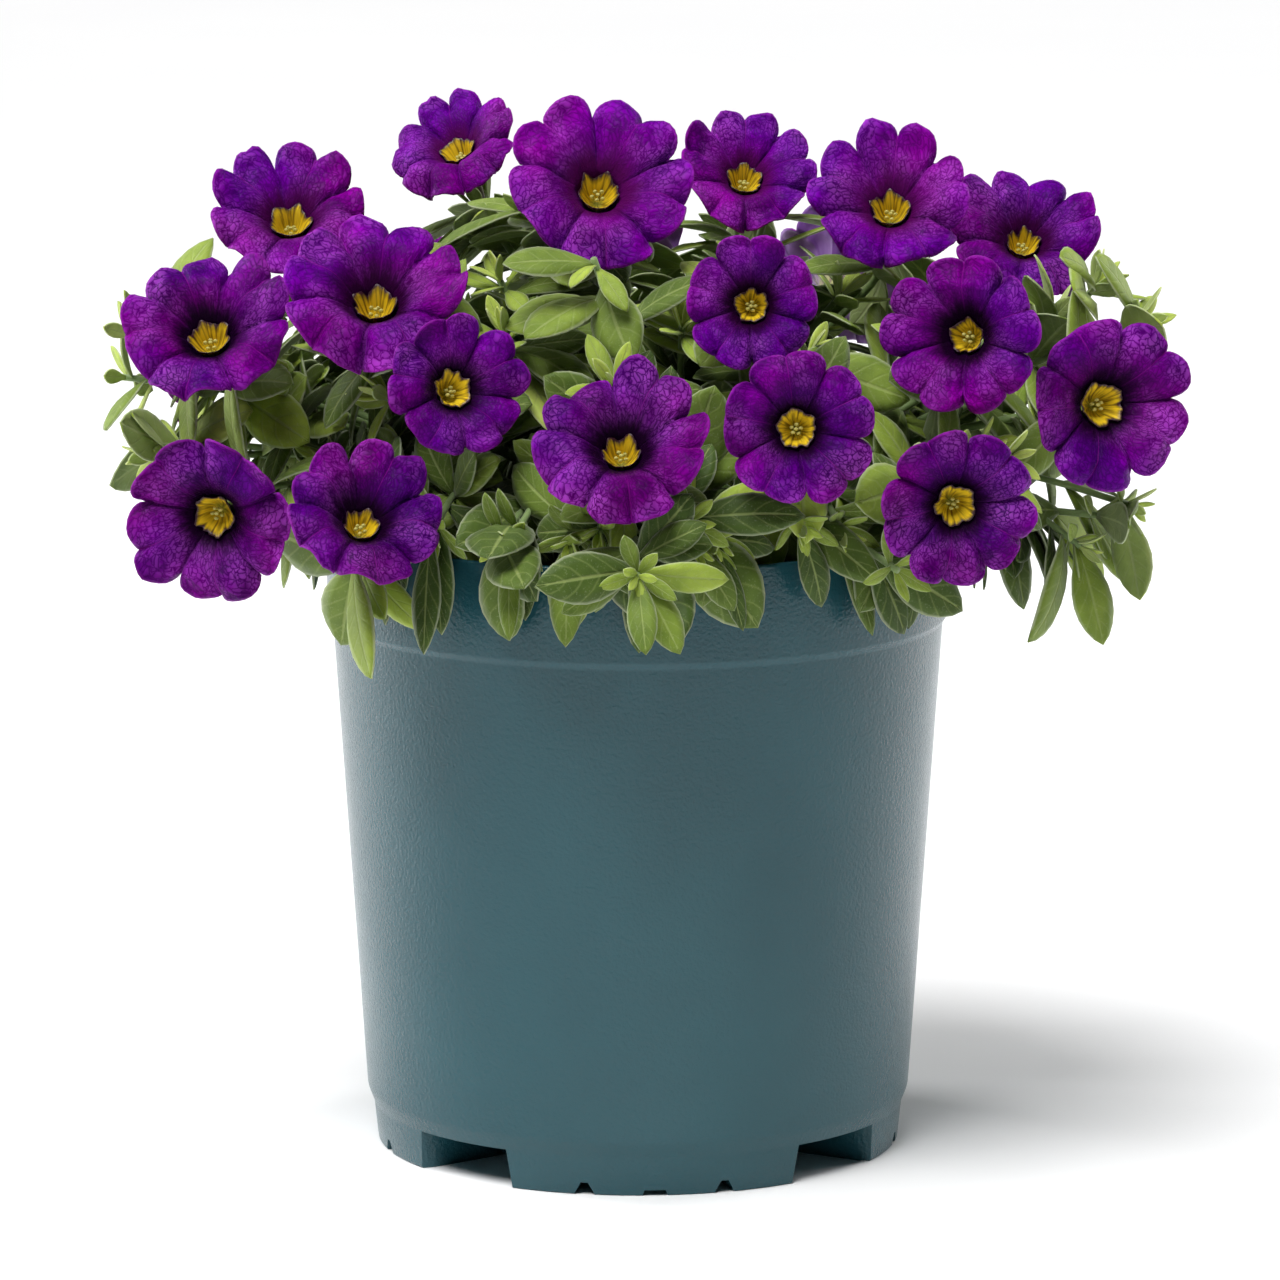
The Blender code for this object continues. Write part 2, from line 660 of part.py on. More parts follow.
def grow(blooms):
    """Grows the twelve leafy stems: trunks, then flower stalks, then leafy shoots, then leaves."""
    growth = Growth(list(blooms.values()))
    stems = [
        Stem(name, azimuth, radius, [blooms[number] for number in carried])
        for name, (azimuth, radius, carried) in STEMS.items()
    ]
    chance = random.Random(7)
    for stem in stems:
        growth.paths.append((stem.name, dense(stem.trunk)))
    for stem in stems:
        for number, bloom in enumerate(stem.blooms):
            end = bloom.root - bloom.facing * STALK_SINK
            path = stem.shoot_to(growth, 0.98 - 0.14 * number, end, bloom.facing, chance, bloom.name)
            if path is None:
                raise ValueError(f"no clear way for the stalk of bloom {bloom.name}")
            stem.shoots.append(Shoot(path, bloom))
    leafy = []
    for number, (end, course) in enumerate(mound_targets()):
        outward = (end - CROWN).normalized()
        stem = max(stems, key=lambda s: s.course.dot(outward))
        path = stem.shoot_to(growth, 0.9 - 0.12 * (len(stem.shoots) % 4), end, course, chance)
        if path:
            shoot = Shoot(path)
            stem.shoots.append(shoot)
            leafy.append((stem, shoot, number >= MOUND_SHOOTS + len(SIDE_SHOOTS)))
    for stem, shoot, skirt in leafy:
        grow_leaves(stem, shoot, growth, chance, skirt)
    for stem in stems:
        for shoot in stem.shoots:
            if shoot.bloom:
                grow_leaves(stem, shoot, growth, chance, False)
    return stems


def tube(name, path, radius, tip_radius, sides, where):
    """A round twig along a path, tapering to its tip, as a closed mesh."""
    curve = bpy.data.curves.new(name, "CURVE")
    curve.dimensions = "3D"
    curve.bevel_depth = 1.0
    curve.bevel_resolution = sides
    curve.use_fill_caps = True
    spline = curve.splines.new("POLY")
    spline.points.add(len(path) - 1)
    for step, point in enumerate(path):
        share = step / (len(path) - 1)
        spline.points[step].co = (*point, 1)
        spline.points[step].radius = radius * (1 - share) + tip_radius * share
    guide = bpy.data.objects.new(name, curve)
    where.objects.link(guide)
    graph = bpy.context.evaluated_depsgraph_get()
    mesh = bpy.data.meshes.new_from_object(guide.evaluated_get(graph))
    bm = bmesh.new()
    bm.from_mesh(mesh)
    bmesh.ops.remove_doubles(bm, verts=bm.verts, dist=1e-6)
    bmesh.ops.recalc_face_normals(bm, faces=bm.faces)
    bpy.data.objects.remove(guide)
    return add_object(name, mesh_from(bm, name), where)


def blade(name, leaf, where):
    """A leaf's blade as a thin closed solid."""
    corners, faces = leaf.sheet()
    bm = bmesh.new()
    verts = [bm.verts.new(corner) for corner in corners]
    for face in faces:
        bm.faces.new([verts[index] for index in face])
    bmesh.ops.recalc_face_normals(bm, faces=bm.faces)
    bm.faces.ensure_lookup_table()
    side = bm.faces[0].normal * LEAF_THICKNESS / 2
    bmesh.ops.solidify(bm, geom=bm.faces[:], thickness=LEAF_THICKNESS)
    bmesh.ops.translate(bm, verts=bm.verts, vec=side)
    bmesh.ops.recalc_face_normals(bm, faces=bm.faces)
    return add_object(name, mesh_from(bm, name), where)


def calyx(name, bloom, where):
    """Five pointed sepals joined at their feet in a small cup, which holds the root of a bloom's tube."""
    foot, cup, floor = [], [], []
    for step in range(10):
        turn = bloom.roll + 2 * math.pi * step / 10
        if step % 2 == 0:
            foot.append(bloom.place(CALYX_FOOT[0], turn, TUBE_ROOT[1] + CALYX_FOOT[1]))
            floor.append(bloom.place(CALYX_FLOOR[0], turn, TUBE_ROOT[1] + CALYX_FLOOR[1]))
        radius, height = SEPAL_TIP if step % 2 == 0 else SEPAL_VALLEY
        cup.append(bloom.place(radius, turn, TUBE_ROOT[1] + height))
    bm = bridged([foot, cup, floor])
    bmesh.ops.holes_fill(bm, edges=[edge for edge in bm.edges if edge.is_boundary])
    bmesh.ops.recalc_face_normals(bm, faces=bm.faces)
    return add_object(name, mesh_from(bm, name), where)


def make_stem(stem, where, finish):
    """One leafy stem, with its twigs, calyces and leaves joined to its trunk in one solid."""
    repeats = collection(f"repeats_{stem.name}")
    trunk = tube(f"leafy_stem_{stem.name}", stem.trunk, TRUNK_RADIUS, TRUNK_RADIUS * 0.8, 1, where)
    trunk.data.materials.append(finish)
    for number, shoot in enumerate(stem.shoots):
        tube(f"twig_{stem.name}_{number}", shoot.path, TWIG_RADIUS, TWIG_TIP_RADIUS, 0, repeats)
        if shoot.bloom:
            calyx(f"calyx_{shoot.bloom.name}", shoot.bloom, repeats)
        for place, leaf in enumerate(shoot.leaves):
            blade(f"blade_{stem.name}_{number}_{place}", leaf, repeats)
    union = trunk.modifiers.new("Joined", "BOOLEAN")
    union.operation = "UNION"
    union.operand_type = "COLLECTION"
    union.collection = repeats
    union.solver = "MANIFOLD"
    graph = bpy.context.evaluated_depsgraph_get()
    joined = bpy.data.meshes.new_from_object(trunk.evaluated_get(graph))
    trunk.modifiers.clear()
    trunk.data = joined
    for obj in list(repeats.objects):
        bpy.data.objects.remove(obj)
    bpy.data.collections.remove(repeats)


def main():
    clear_scene()
    plant = collection("potted_calibrachoa")
    pot_cutters = collection("pot_cutters")
    soil_cutters = collection("soil_cutters")
    petal = material("violet_petal", (0.115, 0.006, 0.300), 0.55)
    eye = material("yellow_eye", (0.600, 0.330, 0.020), 0.5)
    leaf = material("green_leaf", (0.130, 0.230, 0.050), 0.6)
    plastic = material("teal_plastic", (0.045, 0.100, 0.118), 0.35)
    earth = material("potting_soil", (0.050, 0.030, 0.020), 0.95)

    blooms = {name: Bloom(name, *numbers) for name, numbers in BLOOMS.items()}
    stems = grow(blooms)
    make_pot(plant, pot_cutters, plastic)
    make_soil([stem.hole for stem in stems], plant, soil_cutters, earth)
    for bloom in blooms.values():
        make_bloom(bloom, plant, petal)
        make_eye(bloom, plant, eye)
    for stem in stems:
        make_stem(stem, plant, leaf)


main()
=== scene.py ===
import json
import math
import random

import bmesh
import bpy
import numpy as np
from mathutils import Matrix, Vector, noise
from mathutils.bvhtree import BVHTree

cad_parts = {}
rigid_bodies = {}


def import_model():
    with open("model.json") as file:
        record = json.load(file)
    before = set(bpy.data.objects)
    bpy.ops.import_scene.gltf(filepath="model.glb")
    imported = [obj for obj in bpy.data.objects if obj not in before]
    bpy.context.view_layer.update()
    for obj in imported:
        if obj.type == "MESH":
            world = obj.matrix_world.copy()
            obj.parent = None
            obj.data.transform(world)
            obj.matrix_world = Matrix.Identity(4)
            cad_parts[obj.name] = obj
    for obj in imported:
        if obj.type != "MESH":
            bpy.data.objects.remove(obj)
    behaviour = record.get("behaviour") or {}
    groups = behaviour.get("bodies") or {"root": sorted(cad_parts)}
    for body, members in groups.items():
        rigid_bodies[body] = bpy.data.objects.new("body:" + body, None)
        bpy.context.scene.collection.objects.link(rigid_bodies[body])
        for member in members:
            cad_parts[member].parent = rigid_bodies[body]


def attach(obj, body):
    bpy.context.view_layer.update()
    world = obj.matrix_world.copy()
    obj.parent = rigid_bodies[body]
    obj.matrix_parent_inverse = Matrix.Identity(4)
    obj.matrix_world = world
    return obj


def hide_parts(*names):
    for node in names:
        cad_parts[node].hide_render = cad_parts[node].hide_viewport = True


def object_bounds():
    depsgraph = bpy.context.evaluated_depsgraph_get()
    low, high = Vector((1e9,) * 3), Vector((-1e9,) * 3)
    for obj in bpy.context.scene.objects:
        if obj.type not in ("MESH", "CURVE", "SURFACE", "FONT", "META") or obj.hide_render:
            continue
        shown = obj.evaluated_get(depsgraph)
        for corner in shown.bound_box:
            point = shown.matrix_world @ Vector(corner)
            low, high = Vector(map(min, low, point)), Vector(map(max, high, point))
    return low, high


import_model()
cad_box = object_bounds()

# The pot. A thin nursery pot, injection-moulded in one piece from polypropylene dyed dark teal, with a fine
# orange-peel grain outside. A plain band runs under its rounded rim, and it stands on four solid feet.
MM = 0.001
POT_STEPS = 180
FOOT_RADIUS = 50.6
# each corner's radius, height and rounding (mm), from the floor's middle, up inside and down outside
POT_SECTION = (
    (0, 9.4, 0),
    (49.0, 9.4, 0.9),
    (51.0, 11.4, 0.9),
    (58.8, 121.5, 0.65),
    (60.4, 121.5, 0.65),
    (59.7, 103.4, 0.35),
    (58.8, 102.2, 0.35),
    (52.6, 10.6, 0.7),
    (51.4, 7.6, 0.5),
    (FOOT_RADIUS, 0, 0.4),
    (0, 0, 0),
)
FEET = 4
FOOT_TURN = 3.7
FOOT_GAP = ((24.0, 4.67), (47.0, 9.14), (55.6, 13.86))
FOOT_DRAFT = 2.2
FOOT_GAP_TOP = 7.6
# each notch's turn from the foot's middle (degrees), its width below and above, and its height
NOTCHES = ((-15.2, 5.2, 1.4, 2.4), (0, 5.7, 4.0, 1.1), (15.2, 5.2, 1.4, 2.4))
NOTCH_LENGTH = 13.0
PAST = 5.0
UNDER_FOOT = -1
DRAIN_RADIUS = 3.4
DRAIN_PLACE = 40.0
DRAIN_CUT = 8
SHARP_FOLD = math.radians(32)


def finish_named(name):
    """A new material, with its node tree and its shader."""
    made = bpy.data.materials.new(name)
    made.use_nodes = True
    return made, made.node_tree, made.node_tree.nodes["Principled BSDF"]


def add_node(tree, kind, inputs, **settings):
    """A node in a material. Each input is a value, or an output of another node that is wired in."""
    made = tree.nodes.new("ShaderNode" + kind)
    for name, value in settings.items():
        setattr(made, name, value)
    for key, value in inputs.items():
        if isinstance(value, bpy.types.NodeSocket):
            tree.links.new(value, made.inputs[key])
        else:
            made.inputs[key].default_value = value
    return made


def feel(shader, **values):
    """Sets what is the same all over a surface. Each name is a socket's, with _ for its spaces."""
    for name, value in values.items():
        shader.inputs[name.replace("_", " ")].default_value = value


def object_place(tree):
    """Where a point lies, in metres, which is the place that the patterns are scaled to."""
    return add_node(tree, "TexCoord", {}).outputs["Object"]


def sum_of(tree, operation, first, second=0.5, third=0.5):
    """One step of arithmetic in a material."""
    return add_node(tree, "Math", {0: first, 1: second, 2: third}, operation=operation).outputs[0]


def shades(tree, share, stops):
    """A colour that runs through the stops, each a share and its colour."""
    made = add_node(tree, "ValToRGB", {"Fac": share})
    band = made.color_ramp
    while len(band.elements) < len(stops):
        band.elements.new(0.5)
    for element, (place, colour) in zip(band.elements, stops):
        element.position = place
        element.color = (*colour, 1)
    return made.outputs["Color"]


def blended(tree, share, first, second, how="MIX"):
    """Two colours mixed by a share. Each is a colour or another node's output."""
    colours = [(*c, 1) if isinstance(c, tuple) else c for c in (first, second)]
    made = add_node(tree, "Mix", {0: share, 6: colours[0], 7: colours[1]}, data_type="RGBA", blend_type=how)
    return made.outputs[2]


def grain(tree, vector, scale, detail=2.0, roughness=0.5):
    """Soft random spots, about 1 / scale metres apart."""
    return add_node(
        tree, "TexNoise", {"Vector": vector, "Scale": scale, "Detail": detail, "Roughness": roughness}
    ).outputs[0]


def relief(tree, height, strength, depth, under=None):
    """A bump, laid over another one where that is given."""
    inputs = {"Height": height, "Strength": strength, "Distance": depth}
    if under:
        inputs["Normal"] = under
    return add_node(tree, "Bump", inputs).outputs[0]


def new_piece(name, bm, *finishes):
    """A finished mesh as an object at the origin."""
    mesh = bpy.data.meshes.new(name)
    bm.to_mesh(mesh)
    bm.free()
    for finish in finishes:
        mesh.materials.append(finish)
    mesh.shade_smooth()
    piece = bpy.data.objects.new(name, mesh)
    bpy.context.scene.collection.objects.link(piece)
    return piece


def pot_cutter(bm, azimuth, cutters):
    """A shape to be cut from the pot, turned to this azimuth (degrees right of the front)."""
    bmesh.ops.rotate(bm, verts=bm.verts, matrix=Matrix.Rotation(math.radians(azimuth - 90), 3, "Z"))
    bmesh.ops.scale(bm, verts=bm.verts, vec=(MM, MM, MM))
    bmesh.ops.recalc_face_normals(bm, faces=bm.faces)
    mesh = bpy.data.meshes.new("pot_cutter")
    bm.to_mesh(mesh)
    bm.free()
    cutters.objects.link(bpy.data.objects.new("pot_cutter", mesh))


pot_shape = bmesh.new()
corners = [pot_shape.verts.new((radius, 0, height)) for radius, height, _ in POT_SECTION]
for a, b in zip(corners, corners[1:]):
    pot_shape.edges.new((a, b))
for corner, (_, _, rounding) in zip(corners, POT_SECTION):
    if rounding:
        bmesh.ops.bevel(
            pot_shape, geom=[corner], offset=rounding, segments=4, affect="VERTICES", profile=0.5, material=-1
        )
bmesh.ops.spin(
    pot_shape,
    geom=pot_shape.verts[:] + pot_shape.edges[:],
    cent=(0, 0, 0),
    axis=(0, 0, 1),
    angle=2 * math.pi,
    steps=POT_STEPS,
    use_merge=True,
)
bmesh.ops.remove_doubles(pot_shape, verts=pot_shape.verts, dist=0.01)
bmesh.ops.scale(pot_shape, verts=pot_shape.verts, vec=(MM, MM, MM))
bmesh.ops.recalc_face_normals(pot_shape, faces=pot_shape.faces)

pot_cutters = bpy.data.collections.new("pot_cutters")
for foot in range(FEET):
    middle = FOOT_TURN + foot * 360 / FEET
    between = middle + 180 / FEET
    gap = bmesh.new()
    outline = [*FOOT_GAP, *[(x, -y) for x, y in reversed(FOOT_GAP)]]
    sole = gap.faces.new([gap.verts.new((x, y + math.copysign(FOOT_DRAFT, y), -PAST)) for x, y in outline])
    raised = bmesh.ops.extrude_face_region(gap, geom=[sole])["geom"]
    for vert in [v for v in raised if isinstance(v, bmesh.types.BMVert)]:
        vert.co.z = FOOT_GAP_TOP
        vert.co.y -= math.copysign(FOOT_DRAFT, vert.co.y)
    pot_cutter(gap, between, pot_cutters)
    drain = bmesh.new()
    bmesh.ops.create_cone(
        drain, cap_ends=True, segments=32, radius1=DRAIN_RADIUS, radius2=DRAIN_RADIUS, depth=DRAIN_CUT
    )
    bmesh.ops.translate(drain, verts=drain.verts, vec=(DRAIN_PLACE, 0, FOOT_GAP_TOP))
    pot_cutter(drain, between, pot_cutters)
    for turn, wide, narrow, depth in NOTCHES:
        notch = bmesh.new()
        bmesh.ops.create_cube(notch, size=1)
        for vert in notch.verts:
            vert.co.x = FOOT_RADIUS + (-NOTCH_LENGTH if vert.co.x < 0 else PAST)
            vert.co.y *= narrow if vert.co.z > 0 else wide
            vert.co.z = depth if vert.co.z > 0 else UNDER_FOOT
        pot_cutter(notch, middle + turn, pot_cutters)

teal_plastic, tree, shader = finish_named("teal_plastic")
place = object_place(tree)
cloudy = grain(tree, place, 28, 3)
peel = grain(tree, place, 1400, 2, 0.55)
teal = shades(tree, cloudy, [(0.3, (0.0110, 0.065, 0.083)), (0.7, (0.0145, 0.078, 0.098))])
tree.links.new(teal, shader.inputs["Base Color"])
rubbed = add_node(tree, "MapRange", {"Value": grain(tree, place, 110, 4), "To Min": 0.19, "To Max": 0.30})
tree.links.new(rubbed.outputs[0], shader.inputs["Roughness"])
tree.links.new(relief(tree, peel, 0.75, 0.22 * MM), shader.inputs["Normal"])
feel(shader, Specular_IOR_Level=0.42)

pot = new_piece("nursery_pot", pot_shape, teal_plastic)
cut = pot.modifiers.new("Feet and drains", "BOOLEAN")
cut.operation = "DIFFERENCE"
cut.operand_type = "COLLECTION"
cut.collection = pot_cutters
cut.solver = "EXACT"
moulded = bpy.data.meshes.new_from_object(pot.evaluated_get(bpy.context.evaluated_depsgraph_get()))
pot.modifiers.clear()
pot.data = moulded
moulded.shade_smooth()
moulded.set_sharp_from_angle(angle=SHARP_FOLD)
for cutter in list(pot_cutters.objects):
    bpy.data.objects.remove(cutter)
bpy.data.collections.remove(pot_cutters)
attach(pot, "root")
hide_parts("pot")

# The soil. Peat potting mix with bark crumbs and white perlite, pressed into the pot by hand to a low crown
# about a centimetre under the rim. The stems stand in it.
SOIL_EDGE = 57.6
SOIL_FOOT = 50.4
SOIL_LOW = 10.2
SOIL_TOP = 110.0
SOIL_CROWN = 3.0
SOIL_ROWS = 84
# each size of crumb: its height (mm), how many lie along a radius, and its seed
CRUMBS = ((1.1, 14, 0), (0.7, 37, 5))
SETTLED_EDGE = 12

soil_shape = bmesh.new()
bmesh.ops.create_grid(soil_shape, x_segments=SOIL_ROWS, y_segments=SOIL_ROWS, size=1)
rim = [edge for edge in soil_shape.edges if edge.is_boundary]
for vert in soil_shape.verts:
    x, y = vert.co.x, vert.co.y
    x, y = x * math.sqrt(1 - y * y / 2), y * math.sqrt(1 - x * x / 2)
    out = math.hypot(x, y)
    crumbs = sum(height * noise.noise((x * count, y * count, seed)) for height, count, seed in CRUMBS)
    settled = min(1, (1 - out) * SETTLED_EDGE)
    vert.co = (x * SOIL_EDGE, y * SOIL_EDGE, SOIL_TOP + SOIL_CROWN * (1 - out * out) + crumbs * settled)
skirt = bmesh.ops.extrude_edge_only(soil_shape, edges=rim)["geom"]
for vert in [v for v in skirt if isinstance(v, bmesh.types.BMVert)]:
    vert.co = (vert.co.x * SOIL_FOOT / SOIL_EDGE, vert.co.y * SOIL_FOOT / SOIL_EDGE, SOIL_LOW)
bmesh.ops.holes_fill(soil_shape, edges=[edge for edge in soil_shape.edges if edge.is_boundary])
bmesh.ops.scale(soil_shape, verts=soil_shape.verts, vec=(MM, MM, MM))
bmesh.ops.recalc_face_normals(soil_shape, faces=soil_shape.faces)

potting_soil, tree, shader = finish_named("potting_soil")
place = object_place(tree)
crumb = add_node(tree, "TexVoronoi", {"Vector": place, "Scale": 420}, feature="F1")
browns = [(0.2, (0.012, 0.007, 0.004)), (0.6, (0.050, 0.030, 0.018)), (0.8, (0.10, 0.065, 0.04))]
brown = shades(tree, crumb.outputs["Color"], browns)
lump = add_node(tree, "TexVoronoi", {"Vector": place, "Scale": 260}, feature="F1")
perlite = shades(tree, lump.outputs["Color"], [(0.86, (0, 0, 0)), (0.88, (1, 1, 1))])
tree.links.new(blended(tree, perlite, brown, (0.55, 0.52, 0.47)), shader.inputs["Base Color"])
feel(shader, Roughness=0.93)
lumpy = relief(tree, crumb.outputs["Distance"], 0.8, 0.5 * MM)
tree.links.new(relief(tree, grain(tree, place, 1600, 4), 0.6, 0.2 * MM, lumpy), shader.inputs["Normal"])

soil = new_piece("potting_mix", soil_shape, potting_soil)
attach(soil, "root")
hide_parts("soil")

# The flowers. Each is a trumpet of five fused petals, soft as velvet, with ten round lobes and a net of fine
# veins. It is grown in one piece, folded along five seams with painted shade in their creases, and a short
# calyx holds the root of its tube.
BLOOMS = {
    # the place (mm), the way it faces (degrees right of the front, degrees up) and the diameter (mm)
    "01": (-36, 24, 192, -30, 52, 27),
    "02": (-7, -20, 189, 6, 33, 37),
    "03": (21, 16, 187, 8, 42, 28),
    "04": (48, -6, 184, -3, 41, 32),
    "05": (75, 18, 175, 5, 45, 31),
    "06": (-67, 10, 180, 0, 50, 32),
    "07": (-81, -30, 163, -8, 44, 35),
    "08": (-49, -38, 171, 0, 50, 37),
    "09": (-33, -57, 155, 20, 20, 28),
    "10": (-3, -76, 148, 0, 42, 33),
    "11": (21, -48, 169, 0, 12, 27),
    "12": (29, -69, 149, 0, 11, 30),
    "13": (60, -44, 163, -16, 14, 31),
    "14": (88, -38, 149, 18, 10, 34),
    "15": (-80, -46, 128, -13, -6, 34),
    "16": (-50, -66, 133, 14, 43, 31),
    "17": (59, -62, 133, 8, 0, 31),
    "18": (-84, 24, 150, -105, 22, 31),
    "19": (88, 22, 148, 100, 18, 31),
    "20": (-50, 60, 158, -142, 32, 33),
    "21": (-5, 68, 172, 176, 38, 32),
    "22": (42, 62, 160, 148, 30, 33),
    "23": (0, 84, 138, 182, 10, 31),
}
# the section's radii and heights: the tube's root in metres, the rest in shares of the flower's radius
TUBE_ROOT = (0.95 * MM, -16.0 * MM)
TUBE_TOP = (0.155, -0.52)
THROAT = (0.235, -0.29)
LIMB_MIDDLE = (0.62, -0.05)
LIMB_EDGE = (1.0, 0.02)
PETALS = 5
LOBES = 2 * PETALS
PETAL_REACHES = (0.94, 1.03)
PETAL_CUPS = (-0.16, 0.14)
LOBE_REACHES = (0.93, 1.0)
LOBE_LIFTS = (-0.10, 0.07)
LOBE_ROUNDING = (2.1, 0.56)
PETAL_NOTCH = 0.235
LOBE_NOTCH = 0.125
NOTCH_DROP = 0.06
LOBE_END = 0.42
LOBE_COLUMNS = 12
FOLD_CROWDING = 0.11
PETAL_ROWS = 29
THROAT_ROW = 0.3
PETAL_THICKNESS = 0.35 * MM
TUBE_RIB = 0.05
THROAT_FLARE = 1.7
LIMB_FLARE = 1.5
SEAM_DEPTH = 0.045
CREASE_DEPTH = 0.030
FOLD_WIDTH = 0.035
OVERLAP = 0.030
OVERLAP_WIDTH = 0.10
PETAL_DOME = 0.180
LOBE_DOME = 0.110
EDGE_CURL = 0.050
DROOP = 0.42
# how often the petals wave from side to side, and how far
RIPPLE = (1.7, 0.14)
FRILL = (5.5, 0.075)
# the heights (mm) at which the flowers' painted light runs from darkest to brightest: painted shade on the
# lower flowers, painted light on the upper ones
SHADED_BLOOM_HEIGHT = 145
LIT_BLOOM_HEIGHT = 185
SAME_POINT = 1e-6


def heading(azimuth, elevation):
    """The unit vector that points this many degrees right of the front and this many up."""
    a, e = math.radians(azimuth), math.radians(elevation)
    return Vector((math.sin(a) * math.cos(e), -math.cos(a) * math.cos(e), math.sin(e)))


class Bloom:
    """A flower: where it is, the way it faces, and how far its ten lobes reach and curl."""

    def __init__(self, name, x, y, z, azimuth, elevation, diameter):
        self.name = name
        self.middle = Vector((x, y, z)) * MM
        self.radius = diameter * MM / 2
        self.facing = heading(azimuth, elevation)
        side = self.facing.cross(Vector((0, 0, 1))).normalized()
        self.axes = Matrix((side, self.facing.cross(side), self.facing)).transposed()
        chance = random.Random(int(name))
        self.roll = chance.uniform(0, 2 * math.pi)
        # painted light by height: 0 gives a low flower painted shade, 1 gives a high flower painted light
        self.painted_height_light = max(0, min(1, (z - SHADED_BLOOM_HEIGHT) / (LIT_BLOOM_HEIGHT - SHADED_BLOOM_HEIGHT)))
        self.lobe_reach = [chance.uniform(*LOBE_REACHES) for _ in range(LOBES)]
        self.lobe_lift = [chance.uniform(*LOBE_LIFTS) for _ in range(LOBES)]
        self.petal_reach = [chance.uniform(*PETAL_REACHES) for _ in range(PETALS)]
        self.petal_cup = [chance.uniform(*PETAL_CUPS) for _ in range(PETALS)]
        self.root = self.middle + self.facing * TUBE_ROOT[1]

    def place(self, radius, turn, height):
        """A point at this radius, this turn (radians) and this height along the axis, in metres."""
        local = Vector((radius * math.cos(turn), radius * math.sin(turn), height))
        return self.middle + self.axes @ local

    def profile(self):
        """The section's radii and heights from the tube's root to the limb's edge, in metres."""
        shares = np.array([TUBE_TOP, THROAT, LIMB_MIDDLE, LIMB_EDGE]) * self.radius
        return np.vstack([TUBE_ROOT, shares])

    def edge(self, around):
        """The reach and lift of the edge at this share of a full turn, and how deep the nearest folds are."""
        lobe = int(around * LOBES) % LOBES
        part = around * LOBES % 1
        opens_petal = lobe % 2 == 0
        peak = LOBE_END if opens_petal else 1 - LOBE_END
        rising = part < peak
        off_peak = 1 - part / peak if rising else (part - peak) / (1 - peak)
        petal_side = rising == opens_petal
        notch = 1 - (PETAL_NOTCH if petal_side else LOBE_NOTCH)
        fullness = max(0, 1 - off_peak ** LOBE_ROUNDING[0]) ** LOBE_ROUNDING[1]
        petal = lobe // 2
        reach = notch + (self.lobe_reach[lobe] * self.petal_reach[petal] - notch) * fullness
        lift = -NOTCH_DROP + (self.lobe_lift[lobe] + NOTCH_DROP) * fullness
        lift += self.petal_cup[petal] * abs(math.sin(PETALS * math.pi * around))
        from_fold = (part if rising else 1 - part) / LOBES * 2 * math.pi
        depth = SEAM_DEPTH if petal_side else CREASE_DEPTH
        overlap = (OVERLAP if rising else -OVERLAP) if petal_side else 0
        return reach, lift, from_fold, depth, overlap

    def petal_point(self, around, row):
        """The point of the petals' face at this share of a turn and this share of the way to the edge."""
        size = self.radius
        reach, lift, from_fold, fold_depth, overlap = self.edge(around)
        turn = self.roll + 2 * math.pi * around
        if row < THROAT_ROW:
            share = row / THROAT_ROW
            low, top, mouth = np.array(TUBE_ROOT), np.array(TUBE_TOP) * size, np.array(THROAT) * size
            bent = low * (1 - share) ** 2 + (2 * top - (low + mouth) / 2) * 2 * share * (1 - share)
            bent = bent + mouth * share**2
            rib = 1 + TUBE_RIB * math.cos(PETALS * 2 * math.pi * around) * share
            return self.place(bent[0] * rib, turn, bent[1])
        share = (row - THROAT_ROW) / (1 - THROAT_ROW)
        radius = THROAT[0] + (reach - THROAT[0]) * share
        bend = (LIMB_MIDDLE[0] - THROAT[0]) / (reach - THROAT[0])
        if share < bend:
            height = LIMB_MIDDLE[1] - (LIMB_MIDDLE[1] - THROAT[1]) * (1 - share / bend) ** THROAT_FLARE
        else:
            outer = (share - bend) / (1 - bend)
            height = LIMB_MIDDLE[1] + (LIMB_EDGE[1] - LIMB_MIDDLE[1] + lift) * outer**LIMB_FLARE
        off_fold = from_fold * radius
        if fold_depth == CREASE_DEPTH:
            fold_depth *= share**2
        fold = fold_depth * math.exp(-((off_fold / FOLD_WIDTH) ** 2))
        fold -= overlap * math.exp(-off_fold / OVERLAP_WIDTH)
        height -= fold * min(1, share * 3)
        petal_dome = abs(math.sin(PETALS * math.pi * around)) ** 0.8
        lobe_dome = abs(math.sin(LOBES * math.pi * around))
        height += (PETAL_DOME * petal_dome * (1.35 - share) + LOBE_DOME * lobe_dome * share**2) * share
        height -= EDGE_CURL * share**6
        hanging = max(0, -(self.axes @ Vector((math.cos(turn), math.sin(turn), 0))).z)
        height -= DROOP * hanging * max(0, self.facing.z) * share**2
        waves = []
        for often, seed in ((RIPPLE[0], 3.7 * int(self.name)), (FRILL[0], 9 + int(self.name))):
            waves.append(noise.noise((often * math.cos(turn) * share, often * math.sin(turn) * share, seed)))
        height += (RIPPLE[1] * waves[0] + FRILL[1] * waves[1] * share) * share
        return self.place(radius * size, turn, height * size)


def rolled_sheet(bloom, uv_map, columns, rows, point_at):
    """A grid rolled round the flower's axis, with each point where point_at has it, and facing the front."""
    bm = bmesh.new()
    bm.loops.layers.uv.new(uv_map)
    bmesh.ops.create_grid(bm, x_segments=columns, y_segments=rows, size=0.5, calc_uvs=True)
    for vert in bm.verts:
        vert.co = point_at(bloom, vert.co.x + 0.5, vert.co.y + 0.5)
    bmesh.ops.remove_doubles(bm, verts=bm.verts, dist=SAME_POINT)
    bmesh.ops.recalc_face_normals(bm, faces=bm.faces)
    outer = max(bm.faces, key=lambda face: (face.calc_center_median() - bloom.root).length)
    if outer.normal.dot(bloom.facing) < 0:
        bmesh.ops.reverse_faces(bm, faces=bm.faces)
    return bm


